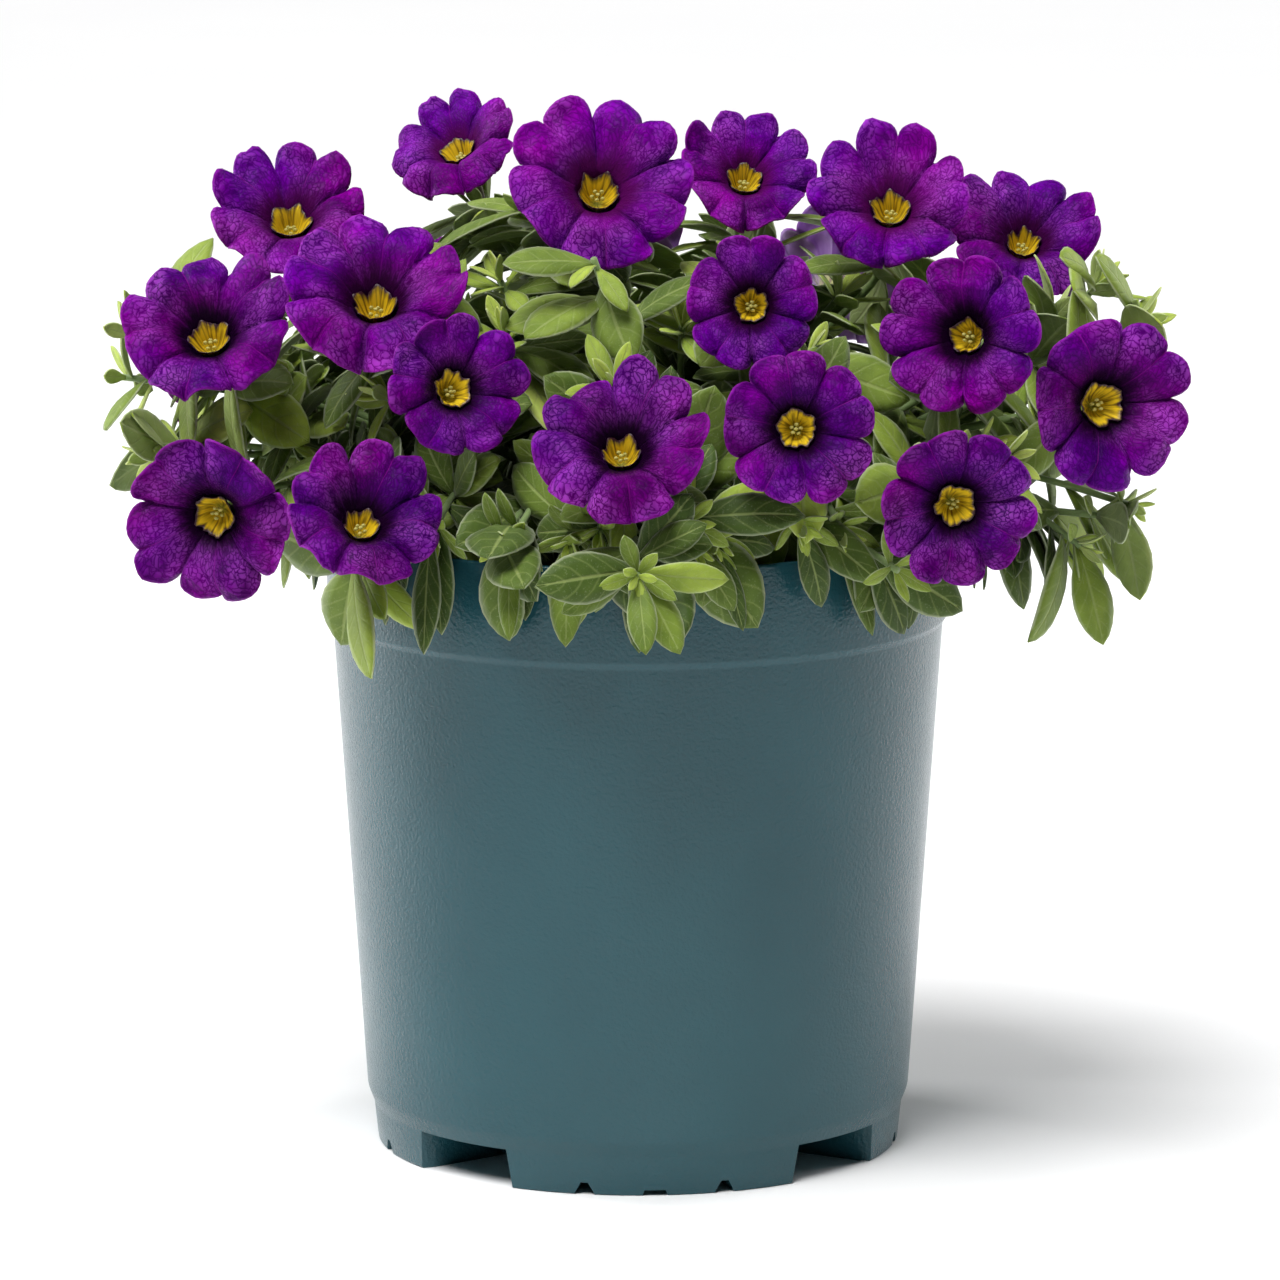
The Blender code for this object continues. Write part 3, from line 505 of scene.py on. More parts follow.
def petal_place(bloom, around, row):
    """The point of the petals' face for these shares of the grid, whose columns crowd at the folds."""
    column = around * LOBES
    lobe = math.floor(column + SAME_POINT)
    part = column - lobe
    part -= FOLD_CROWDING * math.sin(2 * math.pi * part)
    return bloom.petal_point((lobe + max(0, part)) / LOBES, row)


def grown_place(tree):
    """How far round and how far out, or across and along, a point has grown, as shares."""
    return add_node(tree, "SeparateXYZ", {0: add_node(tree, "TexCoord", {}).outputs["UV"]}).outputs[:2]


def drawn_out(tree, around, row, times_round, times_out):
    """A place for a pattern that repeats more often one way than the other, as veins and rays do."""
    scaled = [sum_of(tree, "MULTIPLY", around, times_round), sum_of(tree, "MULTIPLY", row, times_out)]
    return add_node(tree, "CombineXYZ", {0: scaled[0], 1: scaled[1]}).outputs[0]


violet_petal, tree, shader = finish_named("violet_petal")
around, row = grown_place(tree)
place = object_place(tree)
waver = grain(tree, place, 620, 2)
net_around = sum_of(tree, "MULTIPLY_ADD", around, 115, sum_of(tree, "MULTIPLY", waver, 2.2))
net_out = sum_of(tree, "MULTIPLY_ADD", row, 17, sum_of(tree, "MULTIPLY", waver, 2.2))
net_place = add_node(tree, "CombineXYZ", {0: net_around, 1: net_out}).outputs[0]
net = add_node(tree, "TexVoronoi", {"Vector": net_place, "Scale": 1.0}, feature="DISTANCE_TO_EDGE")
pillow = sum_of(tree, "SMOOTH_MIN", net.outputs["Distance"], 0.30, 0.3)
streaks = grain(tree, drawn_out(tree, around, row, 40, 3.5), 1.0, 3)
painted_height_light = add_node(tree, "Attribute", {}, attribute_name="painted_height_light").outputs["Fac"]
fold_line = sum_of(tree, "PINGPONG", sum_of(tree, "MULTIPLY", around, PETALS), 0.5)
violets = [(0.0, (0.135, 0.0005, 0.205)), (0.07, (0.195, 0.0007, 0.288)), (0.26, (0.285, 0.0011, 0.405))]
velvet = shades(tree, pillow, violets)
TINTS = (
    # what the violet is darkened or tinted by: painted light by height (darker on low flowers, brighter on
    # high ones), a blush, clouds, streaks and painted shade in the seams' creases
    (1.0, painted_height_light, [(0.0, (0.80, 0.80, 0.80)), (1.0, (1.22, 1.10, 1.22))]),
    (1.0, grain(tree, place, 48, 1), [(0.38, (0.70, 0.8, 1.0)), (0.62, (1.15, 1.0, 0.92))]),
    (1.0, grain(tree, place, 120, 2), [(0.32, (0.36, 0.36, 0.42)), (0.72, (1.0, 1.0, 1.0))]),
    (0.6, streaks, [(0.32, (0.55, 0.55, 0.62)), (0.66, (1.0, 1.0, 1.0))]),
    # painted shade: the violet is darkened along the creases of the five seams
    (1.0, fold_line, [(0.0, (0.50, 0.45, 0.52)), (0.02, (0.80, 0.78, 0.82)), (0.05, (1, 1, 1))]),
)
for share, pattern, stops in TINTS:
    velvet = blended(tree, share, velvet, shades(tree, pattern, stops), "MULTIPLY")
rosy = shades(tree, fold_line, [(0.470, (0, 0, 0)), (0.497, (0.45, 0.45, 0.45))])
velvet = blended(tree, rosy, velvet, (0.330, 0.008, 0.330))
# painted glints: a pale highlight painted into the colour where a coarse grain and the net's raised cells
# meet
painted_glint = shades(tree, grain(tree, place, 105, 3, 0.6), [(0.44, (0, 0, 0)), (0.78, (1, 1, 1))])
painted_glint = sum_of(tree, "MULTIPLY", painted_glint, shades(tree, pillow, [(0.02, (0, 0, 0)), (0.16, (0.50, 0.50, 0.50))]))
velvet = blended(tree, painted_glint, velvet, (0.560, 0.110, 0.740))
ragged = sum_of(tree, "MULTIPLY_ADD", streaks, 0.16, row)
darkness = [(0.44, (1, 1, 1)), (0.49, (0.84, 0.84, 0.84)), (0.60, (0.30, 0.30, 0.30)), (0.80, (0, 0, 0))]
dark_throat = shades(tree, ragged, darkness)
# painted light by height: the throats of high flowers are painted lighter, those of low flowers darker
throat = shades(tree, painted_height_light, [(0.55, (0.0085, 0.0004, 0.0120)), (1.0, (0.080, 0.0025, 0.078))])
velvet = blended(tree, dark_throat, velvet, throat)
edge_line = shades(tree, row, [(0.970, (0, 0, 0)), (1.0, (0.35, 0.35, 0.35))])
velvet = blended(tree, edge_line, velvet, (0.40, 0.03, 0.46))
tree.links.new(velvet, shader.inputs["Base Color"])
feel(shader, Roughness=0.38, Specular_IOR_Level=0.03)
feel(shader, Sheen_Weight=0.12, Sheen_Roughness=0.25, Sheen_Tint=(0.62, 0.10, 0.98, 1))
quilt = relief(tree, pillow, 0.60, 0.45 * MM)
tree.links.new(relief(tree, streaks, 0.45, 0.5 * MM, quilt), shader.inputs["Normal"])

petal_back, tree, shader = finish_named("petal_back")
around, row = grown_place(tree)
stripes = grain(tree, drawn_out(tree, around, row, 26, 3), 1.0, 2)
tube = shades(tree, stripes, [(0.42, (0.300, 0.300, 0.090)), (0.60, (0.120, 0.050, 0.070))])
limb = shades(tree, stripes, [(0.3, (0.120, 0.030, 0.230)), (0.7, (0.230, 0.080, 0.380))])
past_tube = shades(tree, row, [(0.26, (0, 0, 0)), (0.50, (1, 1, 1))])
tree.links.new(blended(tree, past_tube, tube, limb), shader.inputs["Base Color"])
feel(shader, Roughness=0.66, Sheen_Weight=0.35, Sheen_Tint=(0.80, 0.70, 0.95, 1))
tree.links.new(relief(tree, stripes, 0.4, 0.3 * MM), shader.inputs["Normal"])


def give_thickness(piece, thickness):
    """Thickens a sheet behind its face, and gives its back and edge the second finish."""
    thicken = piece.modifiers.new("Thickness", "SOLIDIFY")
    thicken.thickness = thickness
    thicken.offset = -1
    thicken.material_offset = 1


blooms = {name: Bloom(name, *numbers) for name, numbers in BLOOMS.items()}
for name, bloom in blooms.items():
    flower_shape = rolled_sheet(bloom, "petal", LOBES * LOBE_COLUMNS, PETAL_ROWS, petal_place)
    # each flower's share of painted light by height, kept on its points for the violet_petal material
    height_light_layer = flower_shape.verts.layers.float.new("painted_height_light")
    for vert in flower_shape.verts:
        vert[height_light_layer] = bloom.painted_height_light
    flower = new_piece(f"petals_{name}", flower_shape, violet_petal, petal_back)
    give_thickness(flower, PETAL_THICKNESS)
    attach(flower, "root")
    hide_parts(f"bloom_{name}")

# The eyes. The throat of each flower is lined golden yellow in a five-pointed star, finely lined with dark
# veins, and deep in it sit five cream anthers round a green stigma. All of it is grown with the petals.
EYE_COLUMNS = 50
EYE_ROWS = 9
EYE_THICKNESS = 0.16 * MM
# the lining's radii and heights, and all else of the eye, in shares of the flower's radius
EYE_SECTION = (
    (0.0, -0.560),
    (0.06, -0.540),
    (0.115, -0.470),
    (0.155, -0.370),
    (0.185, -0.280),
    (0.215, -0.225),
    (0.27, -0.180),
)
EYE_REACH = 0.225
EYE_BODY = 0.90
EYE_STAR = 0.18
EYE_FRAY = 0.20
EYE_PLEAT = 0.012
ANTHERS = 5
ANTHER_RADIUS = 0.45 * MM
ANTHER_RING = 0.058
ANTHER_HEIGHTS = (-0.385, -0.360)
ANTHER_SHAPE = (1.0, 0.75, 1.3)
STIGMA_HEIGHT = -0.34
STIGMA_SHAPE = (1.0, 0.75, 0.8)


def lining_point(bloom, around, row):
    """The point of a throat's lining at this share of a turn and of the way from its middle to its rim."""
    star = 0.5 - 0.5 * math.cos(PETALS * 2 * math.pi * around)
    turn = 2 * math.pi * around
    frayed = noise.noise((3 * math.cos(turn), 3 * math.sin(turn), int(bloom.name)))
    size = 0.98 + 0.10 * math.sin(int(bloom.name) * 2.3)
    reach = row * size * (EYE_BODY + EYE_STAR * star + EYE_FRAY * frayed)
    radius = reach * EYE_REACH
    height = np.interp(radius, *zip(*EYE_SECTION))
    pleat = EYE_PLEAT * math.cos(LOBES * turn) * row * (1.3 - row)
    return bloom.place(radius * bloom.radius, bloom.roll + turn, (height + pleat) * bloom.radius)


yellow_eye, tree, shader = finish_named("yellow_eye")
around, row = grown_place(tree)
rays = grain(tree, drawn_out(tree, around, row, 30, 1.1), 1.0, 2)
golds = [(0.10, (0.340, 0.370, 0.040)), (0.45, (0.780, 0.580, 0.030)), (0.90, (0.840, 0.570, 0.010))]
gold = shades(tree, row, golds)
between_rays = shades(tree, rays, [(0.36, (0.14, 0.07, 0.07)), (0.52, (1, 1, 1))])
gold = blended(tree, 0.8, gold, between_rays, "MULTIPLY")
fuzzy = sum_of(tree, "MULTIPLY_ADD", rays, -0.34, sum_of(tree, "ADD", row, 0.17))
rim_shade = shades(tree, fuzzy, [(0.80, (0, 0, 0)), (0.97, (1, 1, 1))])
tree.links.new(blended(tree, rim_shade, gold, (0.030, 0.004, 0.012)), shader.inputs["Base Color"])
feel(shader, Roughness=0.45)
tree.links.new(relief(tree, rays, 0.7, 0.35 * MM), shader.inputs["Normal"])

pale_pollen, tree, shader = finish_named("pale_pollen")
place = object_place(tree)
dust = grain(tree, place, 3000, 3)
cream = shades(tree, dust, [(0.3, (0.38, 0.36, 0.07)), (0.7, (0.62, 0.56, 0.18))])
tree.links.new(cream, shader.inputs["Base Color"])
feel(shader, Roughness=0.7)
tree.links.new(relief(tree, dust, 0.6, 0.1 * MM), shader.inputs["Normal"])

for name, bloom in blooms.items():
    eye_shape = rolled_sheet(bloom, "eye", EYE_COLUMNS, EYE_ROWS, lining_point)
    eye_shape.normal_update()
    bmesh.ops.solidify(eye_shape, geom=eye_shape.faces[:], thickness=EYE_THICKNESS)
    for number in range(ANTHERS + 1):
        stigma = number == ANTHERS
        turn = bloom.roll + 2 * math.pi * (number + 0.3) / ANTHERS
        out = 0 if stigma else ANTHER_RING
        height = STIGMA_HEIGHT if stigma else ANTHER_HEIGHTS[number % 2]
        head = bloom.place(out * bloom.radius, turn, height * bloom.radius)
        bead = bmesh.ops.create_icosphere(eye_shape, subdivisions=2, radius=ANTHER_RADIUS)["verts"]
        pressed = Matrix.Diagonal(STIGMA_SHAPE if stigma else ANTHER_SHAPE).to_3x3()
        bmesh.ops.transform(eye_shape, verts=bead, matrix=(bloom.axes @ pressed).to_4x4())
        bmesh.ops.translate(eye_shape, verts=bead, vec=head)
        for face in {face for vert in bead for face in vert.link_faces}:
            face.material_index = 1
    eye = new_piece(f"eye_lining_{name}", eye_shape, yellow_eye, pale_pollen)
    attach(eye, "root")
    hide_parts(f"eye_{name}")

# The leafy stems. Twelve soft green stems branch from the soil into flower stalks and leafy shoots, with
# leaves set spirally along them: small, blunt, a little folded along the midrib, and downy all over. Young
# leaves at the tips are a brighter, yellower green.
STEMS = {
    # where it stands (degrees right of the front, mm from the middle) and the flowers that it carries
    "01": (-48, 18, ("15", "16")),
    "02": (-82, 18, ("07", "18")),
    "03": (-68, 10, ("06", "08")),
    "04": (-24, 15, ("09",)),
    "05": (-110, 3, ("01", "02")),
    "06": (-2, 19, ("10",)),
    "07": (20, 12, ("11", "12")),
    "08": (46, 18, ("13", "17")),
    "09": (80, 18, ("14", "19")),
    "10": (88, 9, ("03", "04", "05")),
    "11": (-146, 15, ("20", "23")),
    "12": (158, 13, ("21", "22")),
}
POT_HEIGHT = 121.5 * MM
RIM_RADIUS = 60.4 * MM
WALL = 1.6 * MM
SOIL_CREST = 113.0 * MM
STEM_FOOT = 91.0 * MM
STALK_SINK = 1.6 * MM
CROWN = Vector((0, 0, 118 * MM))
MOUND_REACH = 92 * MM
MOUND_RISE = 64 * MM
MOUND_SHOOTS = 16
FORK_SHARE = 0.42
FORK_HEIGHT = 129 * MM
SIDE_REACH = 90 * MM
# degrees right of the front and up
SIDE_SHOOTS = ((-93, 23), (-97, 11), (91, 27), (80, 4))
SKIRT_SHOOTS = 12
SKIRT_REACH = 66 * MM
SKIRT_HEIGHT = 126 * MM
FRONT_CROWDING = 28
GOLDEN_ANGLE = math.pi * (3 - math.sqrt(5))
TRUNK_RADIUS = 1.5 * MM
TWIG_RADIUS = 0.96 * MM
TWIG_TIP_RADIUS = 0.65 * MM
SHOOT_TRIES = 60
ASIDE_STEP = 0.5
TWIG_PULL = 0.35
STALK_PULL = 0.25
LEAF_TRIES = 14
LEAF_TURN = 0.9
LEAF_SPREAD = (38, 68)
LEAF_ROWS = (0.36, 0.72)
SAMPLE_ROWS = 11
LEAF_LENGTH = (18 * MM, 26 * MM)
LEAF_SLENDERNESS = 0.38
LEAVES_PER_SHOOT = 4
LEAVES_PER_STALK = 2
END_LEAF_SIZE = 0.8
LEAF_CLEARANCE = 1.3 * MM
LEAF_NEAR = 34 * MM
LEAF_OFF_TWIG = 2.3 * MM
STALK_CLEARANCE = 1.3 * MM
PATH_SPACING = 1.2 * MM
PETAL_ROOM = 0.7 * MM
BEFORE_BLOOM = 26 * MM


def bezier(start, pull_start, pull_end, end, count):
    """Points on a curve from start to end that leaves and arrives the way of the two pulls."""
    points = []
    for step in range(count):
        t = step / (count - 1)
        s = 1 - t
        points.append(start * s**3 + pull_start * (3 * s * s * t) + pull_end * (3 * s * t * t) + end * t**3)
    return points


def scattered(chance, spread):
    """A random vector, as often one way as another."""
    return Vector([chance.gauss(0, spread) for _ in range(3)])


def splayed(tangent, turn, spread):
    """The direction that leaves a tangent by this spread at this turn about it, in radians."""
    aside = tangent.orthogonal().normalized()
    aside.rotate(Matrix.Rotation(turn, 3, tangent))
    return tangent * math.cos(spread) + aside * math.sin(spread)


def over_rim(point):
    """The point, lifted to where a stem clears the soil and the pot's rim."""
    radius = math.hypot(point.x, point.y)
    crest = POT_HEIGHT + 3.2 * MM
    soil = SOIL_CREST + 1 * MM
    climb_start, climb_end = RIM_RADIUS - 14 * MM, RIM_RADIUS - 6 * MM
    climb = min(1, max(0, (radius - climb_start) / (climb_end - climb_start)))
    fall = max(0, radius - SKIRT_REACH) * 1.5
    return Vector((point.x, point.y, max(point.z, soil + (crest - soil) * climb - fall)))


def dense(path):
    """Points along a path, close together."""
    points = []
    for a, b in zip(path, path[1:]):
        count = max(1, math.ceil((b - a).length / PATH_SPACING))
        points += [a.lerp(b, step / count) for step in range(count)]
    return np.array(points + [path[-1]])


class Leaf:
    """A leaf's blade: its root, the way it points, the way its upper face looks, and its length."""

    def __init__(self, root, direction, face, length, bend):
        self.root = root
        self.direction = direction
        self.face = face
        self.side = direction.cross(face)
        self.length = length
        self.bend = bend
        self.age = 0
        self.wide = 1

    def half_width(self, t):
        """Half of the blade's width t of the way to the tip."""
        blade = math.sin(math.pi * min(1, t) ** 1.3) ** 0.85 if 0 < t < 1 else 0
        return max(blade * self.length * LEAF_SLENDERNESS / 2, 0.35 * MM * (1 - t))

    def point(self, t, across):
        """The point t of the way to the tip, and across from -1 to 1 over the blade."""
        along = self.length * t * (1 - 0.25 * self.bend * t)
        sag = self.bend * self.length * t * t
        return self.root + self.direction * along + self.side * self.half_width(t) * across - self.face * sag

    def sheet(self):
        """The blade's middle surface as corners and faces, from its narrow root to its pointed tip."""
        corners = [self.point(t, across) for t in LEAF_ROWS for across in (-1, 1)]
        corners += [self.root, self.point(1, 0)]
        faces = [(len(corners) - 2, 1, 0)]
        for a in range(0, 2 * len(LEAF_ROWS) - 2, 2):
            faces += [(a, a + 1, a + 3), (a, a + 3, a + 2)]
        last = 2 * len(LEAF_ROWS) - 2
        return corners, faces + [(last, last + 1, len(corners) - 1)]

    def samples(self):
        """Points over the blade, three to a row, from near its root to its tip."""
        rows = [0.12 + 0.088 * row for row in range(SAMPLE_ROWS)]
        return np.array([self.point(t, across) for t in rows for across in (-1, 0, 1)])


class Growth:
    """Everything that is already in the mound, so that what grows later is bent clear of it."""

    def __init__(self, blooms):
        self.names = [bloom.name for bloom in blooms]
        self.middles = np.array([bloom.middle for bloom in blooms])
        self.facings = np.array([bloom.facing for bloom in blooms])
        self.radii = np.array([bloom.radius for bloom in blooms])
        self.profiles = np.array([bloom.profile() for bloom in blooms])
        self.paths = []
        self.leaves = []

    def clear_of_blooms(self, points, clearance, own_bloom=None):
        """True if the points keep this far from every petal, and none lies before a bloom's face."""
        offset = points[:, None] - self.middles[None]
        height = (offset * self.facings[None]).sum(axis=2)
        radius = np.linalg.norm(offset - height[..., None] * self.facings[None], axis=2)
        here = np.stack([radius, height], axis=2)[:, :, None]
        start, end = self.profiles[None, :, :-1], self.profiles[None, :, 1:]
        run = end - start
        share = ((here - start) * run).sum(axis=3) / (run * run).sum(axis=3)
        nearest = start + np.clip(share, 0, 1)[..., None] * run
        apart = np.linalg.norm(here - nearest, axis=3).min(axis=2)
        wave = 0.1 * self.radii * np.clip(radius / self.radii, 0, 1) ** 2
        before = (height > -0.25 * self.radii) & (height < BEFORE_BLOOM) & (radius < self.radii + 1.5 * MM)
        blocked = (apart < clearance + PETAL_ROOM + wave) | before
        if own_bloom:
            own = self.names.index(own_bloom)
            blocked[:, own] &= height[:, own] > self.profiles[own, 0, 1] + 1 * MM
        return not blocked.any()

    def clear_of_paths(self, owner, points, clearance):
        """True if the points keep this far from the twigs of the other stems."""
        others = [taken for other, taken in self.paths if other != owner]
        if not others:
            return True
        taken = np.vstack(others)
        low, high = points.min(axis=0) - clearance, points.max(axis=0) + clearance
        near = taken[((taken > low) & (taken < high)).all(axis=1)]
        return not len(near) or np.linalg.norm(points[:, None] - near[None], axis=2).min() > clearance

    def path_is_clear(self, owner, points, own_bloom):
        """True if a twig along the points clears the pot, the blooms and the twigs of the other stems."""
        if in_pot(points, TRUNK_RADIUS).any():
            return False
        if not self.clear_of_blooms(points, STALK_CLEARANCE, own_bloom):
            return False
        return self.clear_of_paths(owner, points, 2 * TRUNK_RADIUS + 0.2 * MM)

    def leaf_is_clear(self, owner, leaf):
        """True, with the leaf noted, if it clears pot, blooms, other stems' twigs and every other leaf."""
        points = leaf.samples()
        if in_pot(points, LEAF_CLEARANCE).any() or not self.clear_of_blooms(points, LEAF_CLEARANCE):
            return False
        if not self.clear_of_paths(owner, points, LEAF_OFF_TWIG):
            return False
        blade = BVHTree.FromPolygons(*leaf.sheet())
        middle = len(points) // 2
        middles = np.array([taken[middle] for _, taken, _ in self.leaves]).reshape(-1, 3)
        for number in np.flatnonzero(np.linalg.norm(middles - points[middle], axis=1) <= LEAF_NEAR):
            other, taken, tree = self.leaves[number]
            if blade.overlap(tree):
                return False
            spacing = np.linalg.norm(points[:, None] - taken[None], axis=2).min()
            if other != owner and spacing < LEAF_CLEARANCE + 0.9 * MM:
                return False
        self.leaves.append((owner, points, blade))
        return True


def in_pot(points, clearance):
    """Marks the points that are in, or too near, the pot or the soil."""
    radius = np.hypot(points[:, 0], points[:, 1])
    height = points[:, 2]
    outside = (height > POT_HEIGHT + clearance) | (radius > RIM_RADIUS + clearance)
    inside = (radius < RIM_RADIUS - WALL - clearance) & (height > SOIL_CREST + clearance)
    return ~(outside | inside)


class Shoot:
    """A twig of a leafy stem: its path, the bloom at its end if it has one, and its leaves."""

    def __init__(self, path, bloom=None):
        self.path = path
        self.bloom = bloom
        self.girth = TWIG_RADIUS
        self.leaves = []

    def at(self, share):
        """Place and tangent at this share of the path's points."""
        last = len(self.path) - 1
        step = min(int(share * last), last - 1)
        a, b = self.path[step], self.path[step + 1]
        return a.lerp(b, share * last - step), (b - a).normalized()


class Stem:
    """A leafy stem: a trunk that stands in the soil, with a flower stalk to each bloom and leafy shoots."""

    def __init__(self, name, azimuth, radius, blooms):
        self.name = name
        self.blooms = blooms
        self.hole = heading(azimuth, 0) * radius * MM
        target = sum([bloom.root for bloom in blooms], Vector()) / len(blooms)
        self.course = (target - CROWN).normalized()
        fork = CROWN.lerp(target, FORK_SHARE)
        fork.z = max(fork.z, FORK_HEIGHT)
        foot = Vector((self.hole.x, self.hole.y, STEM_FOOT))
        top = Vector((self.hole.x, self.hole.y, SOIL_CREST + 1.5 * MM))
        self.trunk = [foot] + bezier(top, top + Vector((0, 0, 7 * MM)), fork - self.course * 9 * MM, fork, 4)
        self.shoots = []

    def shoot_to(self, growth, start_share, end, end_course, chance, own_bloom=None):
        """A twig from the trunk to end, bent further and further aside until it is clear, or None."""
        start, tangent = Shoot(self.trunk).at(start_share)
        reach = (end - start).length
        for attempt in range(SHOOT_TRIES):
            aside = scattered(chance, 1) * attempt * ASIDE_STEP * MM
            middle = start + tangent * reach * TWIG_PULL + aside
            pull = STALK_PULL if own_bloom else TWIG_PULL
            path = bezier(start, middle, end - end_course * reach * pull + aside, end, 5)
            path = path[:1] + [over_rim(point) for point in path[1:-1]] + path[-1:]
            points = dense(path)
            if growth.path_is_clear(self.name, points, own_bloom):
                growth.paths.append((self.name, points))
                return path
        return None


def mound_targets():
    """Ends for the leafy shoots: a golden-angle spiral over the dome, the sides, and a ring over the rim."""
    targets = []
    for step in range(MOUND_SHOOTS):
        share = (step + 0.5) / MOUND_SHOOTS
        elevation = math.asin(0.05 + 0.93 * share)
        course = heading(math.degrees(GOLDEN_ANGLE * step), math.degrees(elevation))
        reach = 1 / math.hypot(math.cos(elevation) / MOUND_REACH, math.sin(elevation) / MOUND_RISE)
        targets.append((CROWN + course * reach, course))
    for azimuth, elevation in SIDE_SHOOTS:
        course = heading(azimuth, elevation)
        targets.append((CROWN + course * SIDE_REACH, course))
    for step in range(SKIRT_SHOOTS):
        azimuth = 360 * (step + 0.6) / SKIRT_SHOOTS
        azimuth -= FRONT_CROWDING * math.sin(math.radians(azimuth))
        end = heading(azimuth, 0) * SKIRT_REACH
        end.z = SKIRT_HEIGHT + 3 * MM * (step % 2)
        targets.append((end, heading(azimuth, -38)))
    return targets


def grow_leaves(stem, shoot, growth, chance, skirt):
    """Leaves spiral up the outer part of a twig. Each is turned anew until it is clear, or left out."""
    turn = chance.uniform(0, 2 * math.pi)
    count = LEAVES_PER_SHOOT if shoot.bloom is None else LEAVES_PER_STALK
    for number in range(count):
        share = 0.98 - 0.55 * number / count if shoot.bloom is None else 0.45 - 0.2 * number
        root, tangent = shoot.at(share)
        for attempt in range(LEAF_TRIES):
            spin = turn + GOLDEN_ANGLE * number + attempt * LEAF_TURN
            direction = splayed(tangent, spin, math.radians(chance.uniform(*LEAF_SPREAD)))
            if skirt:
                direction += Vector((0, 0, -1.0))
            direction.normalize()
            face = tangent - direction * tangent.dot(direction)
            if skirt:
                face += Vector((root.x, root.y, 0)).normalized() * 0.8
                face -= direction * face.dot(direction)
            face.normalize()
            length = chance.uniform(*LEAF_LENGTH) * (END_LEAF_SIZE if number == 0 else 1)
            leaf = Leaf(root, direction, face, length, chance.uniform(0.05, 0.3))
            if growth.leaf_is_clear(stem.name, leaf):
                shoot.leaves.append(leaf)
                break


def grow(blooms):
    """Grows the twelve leafy stems: trunks, then flower stalks, then leafy shoots, then leaves."""
    growth = Growth(list(blooms.values()))
    stems = [
        Stem(name, azimuth, radius, [blooms[number] for number in carried])
        for name, (azimuth, radius, carried) in STEMS.items()
    ]
    chance = random.Random(7)
    for stem in stems:
        growth.paths.append((stem.name, dense(stem.trunk)))
    for stem in stems:
        for number, bloom in enumerate(stem.blooms):
            end = bloom.root - bloom.facing * STALK_SINK
            path = stem.shoot_to(growth, 0.98 - 0.14 * number, end, bloom.facing, chance, bloom.name)
            if path is None:
                raise ValueError(f"no clear way for the stalk of bloom {bloom.name}")
            stem.shoots.append(Shoot(path, bloom))
    leafy = []
    for number, (end, course) in enumerate(mound_targets()):
        outward = (end - CROWN).normalized()
        stem = max(stems, key=lambda s: s.course.dot(outward))
        path = stem.shoot_to(growth, 0.9 - 0.12 * (len(stem.shoots) % 4), end, course, chance)
        if path:
            shoot = Shoot(path)
            stem.shoots.append(shoot)
            leafy.append((stem, shoot, number >= MOUND_SHOOTS + len(SIDE_SHOOTS)))
    for stem, shoot, skirt in leafy:
        grow_leaves(stem, shoot, growth, chance, skirt)
    for stem in stems:
        for shoot in stem.shoots:
            if shoot.bloom:
                grow_leaves(stem, shoot, growth, chance, False)
    return stems


stems = grow(blooms)

# The thin side shoots and the rest of the leaves. They are younger and softer than the main shoots, and they
# branch off the same twelve stems into the room that is left. Their leaves lie over the mound like shingles,
# and some hang over the pot's rim.
EXTRA_SHOOTS = 30
THIN_SHOOT_RADIUS = 0.7 * MM
EXTRA_REACH = (66 * MM, 86 * MM)
EXTRA_LEAVES = 14
EXTRA_TRIES = 12
EXTRA_SHARES = (0.30, 1.0)
EXTRA_LENGTH = (15 * MM, 25 * MM)
EXTRA_STEMS = 4
EDGE_SHOOTS = (
    # the end (mm), and the way it points (degrees right of the front, degrees up)
    (-97, -8, 158, -100, 22),
    (-99, -2, 149, -96, 4),
    (-92, -12, 136, -92, -30),
    (-84, 2, 176, -80, 50),
    (88, 0, 167, 85, 62),
    (96, -4, 160, 95, 18),
    (84, -20, 119, 80, -45),
    (94, -14, 126, 88, -20),
)
RIM_SHOOTS = (-50, -36, -21, -11, 3, 13, 36, 55)
RIM_SHOOT_PLACE = (64.5 * MM, 127 * MM)
HANGING_LEAVES = 2
HANGING_TRIES = 20
HANGING_LENGTH = (17 * MM, 25 * MM)
HANGING_BEND = 0.10
OLD_LEAF = 0.22
SLENDER_LEAF = 0.62


def inside_cad_box(points):
    """True if every point lies in the box of the solids, so that the plant keeps its size."""
    low, high = np.array(cad_box[0]), np.array(cad_box[1])
    return bool(((points > low) & (points < high)).all())


def extra_leaves(stem, shoot, growth, chance):
    """More leaves along a shoot, lying over the mound like shingles where they find room."""
    for _ in range(EXTRA_LEAVES):
        root, tangent = shoot.at(chance.uniform(*EXTRA_SHARES))
        outward = (root - CROWN).normalized()
        for _ in range(EXTRA_TRIES):
            face = (outward * 0.95 + Vector((0, 0, 0.22)) + scattered(chance, 0.34)).normalized()
            course = tangent * 0.5 + scattered(chance, 0.7)
            direction = (course - face * course.dot(face)).normalized()
            leaf = Leaf(root, direction, face, chance.uniform(*EXTRA_LENGTH), chance.uniform(0.05, 0.45))
            if inside_cad_box(leaf.samples()) and growth.leaf_is_clear(stem.name, leaf):
                shoot.leaves.append(leaf)
                break


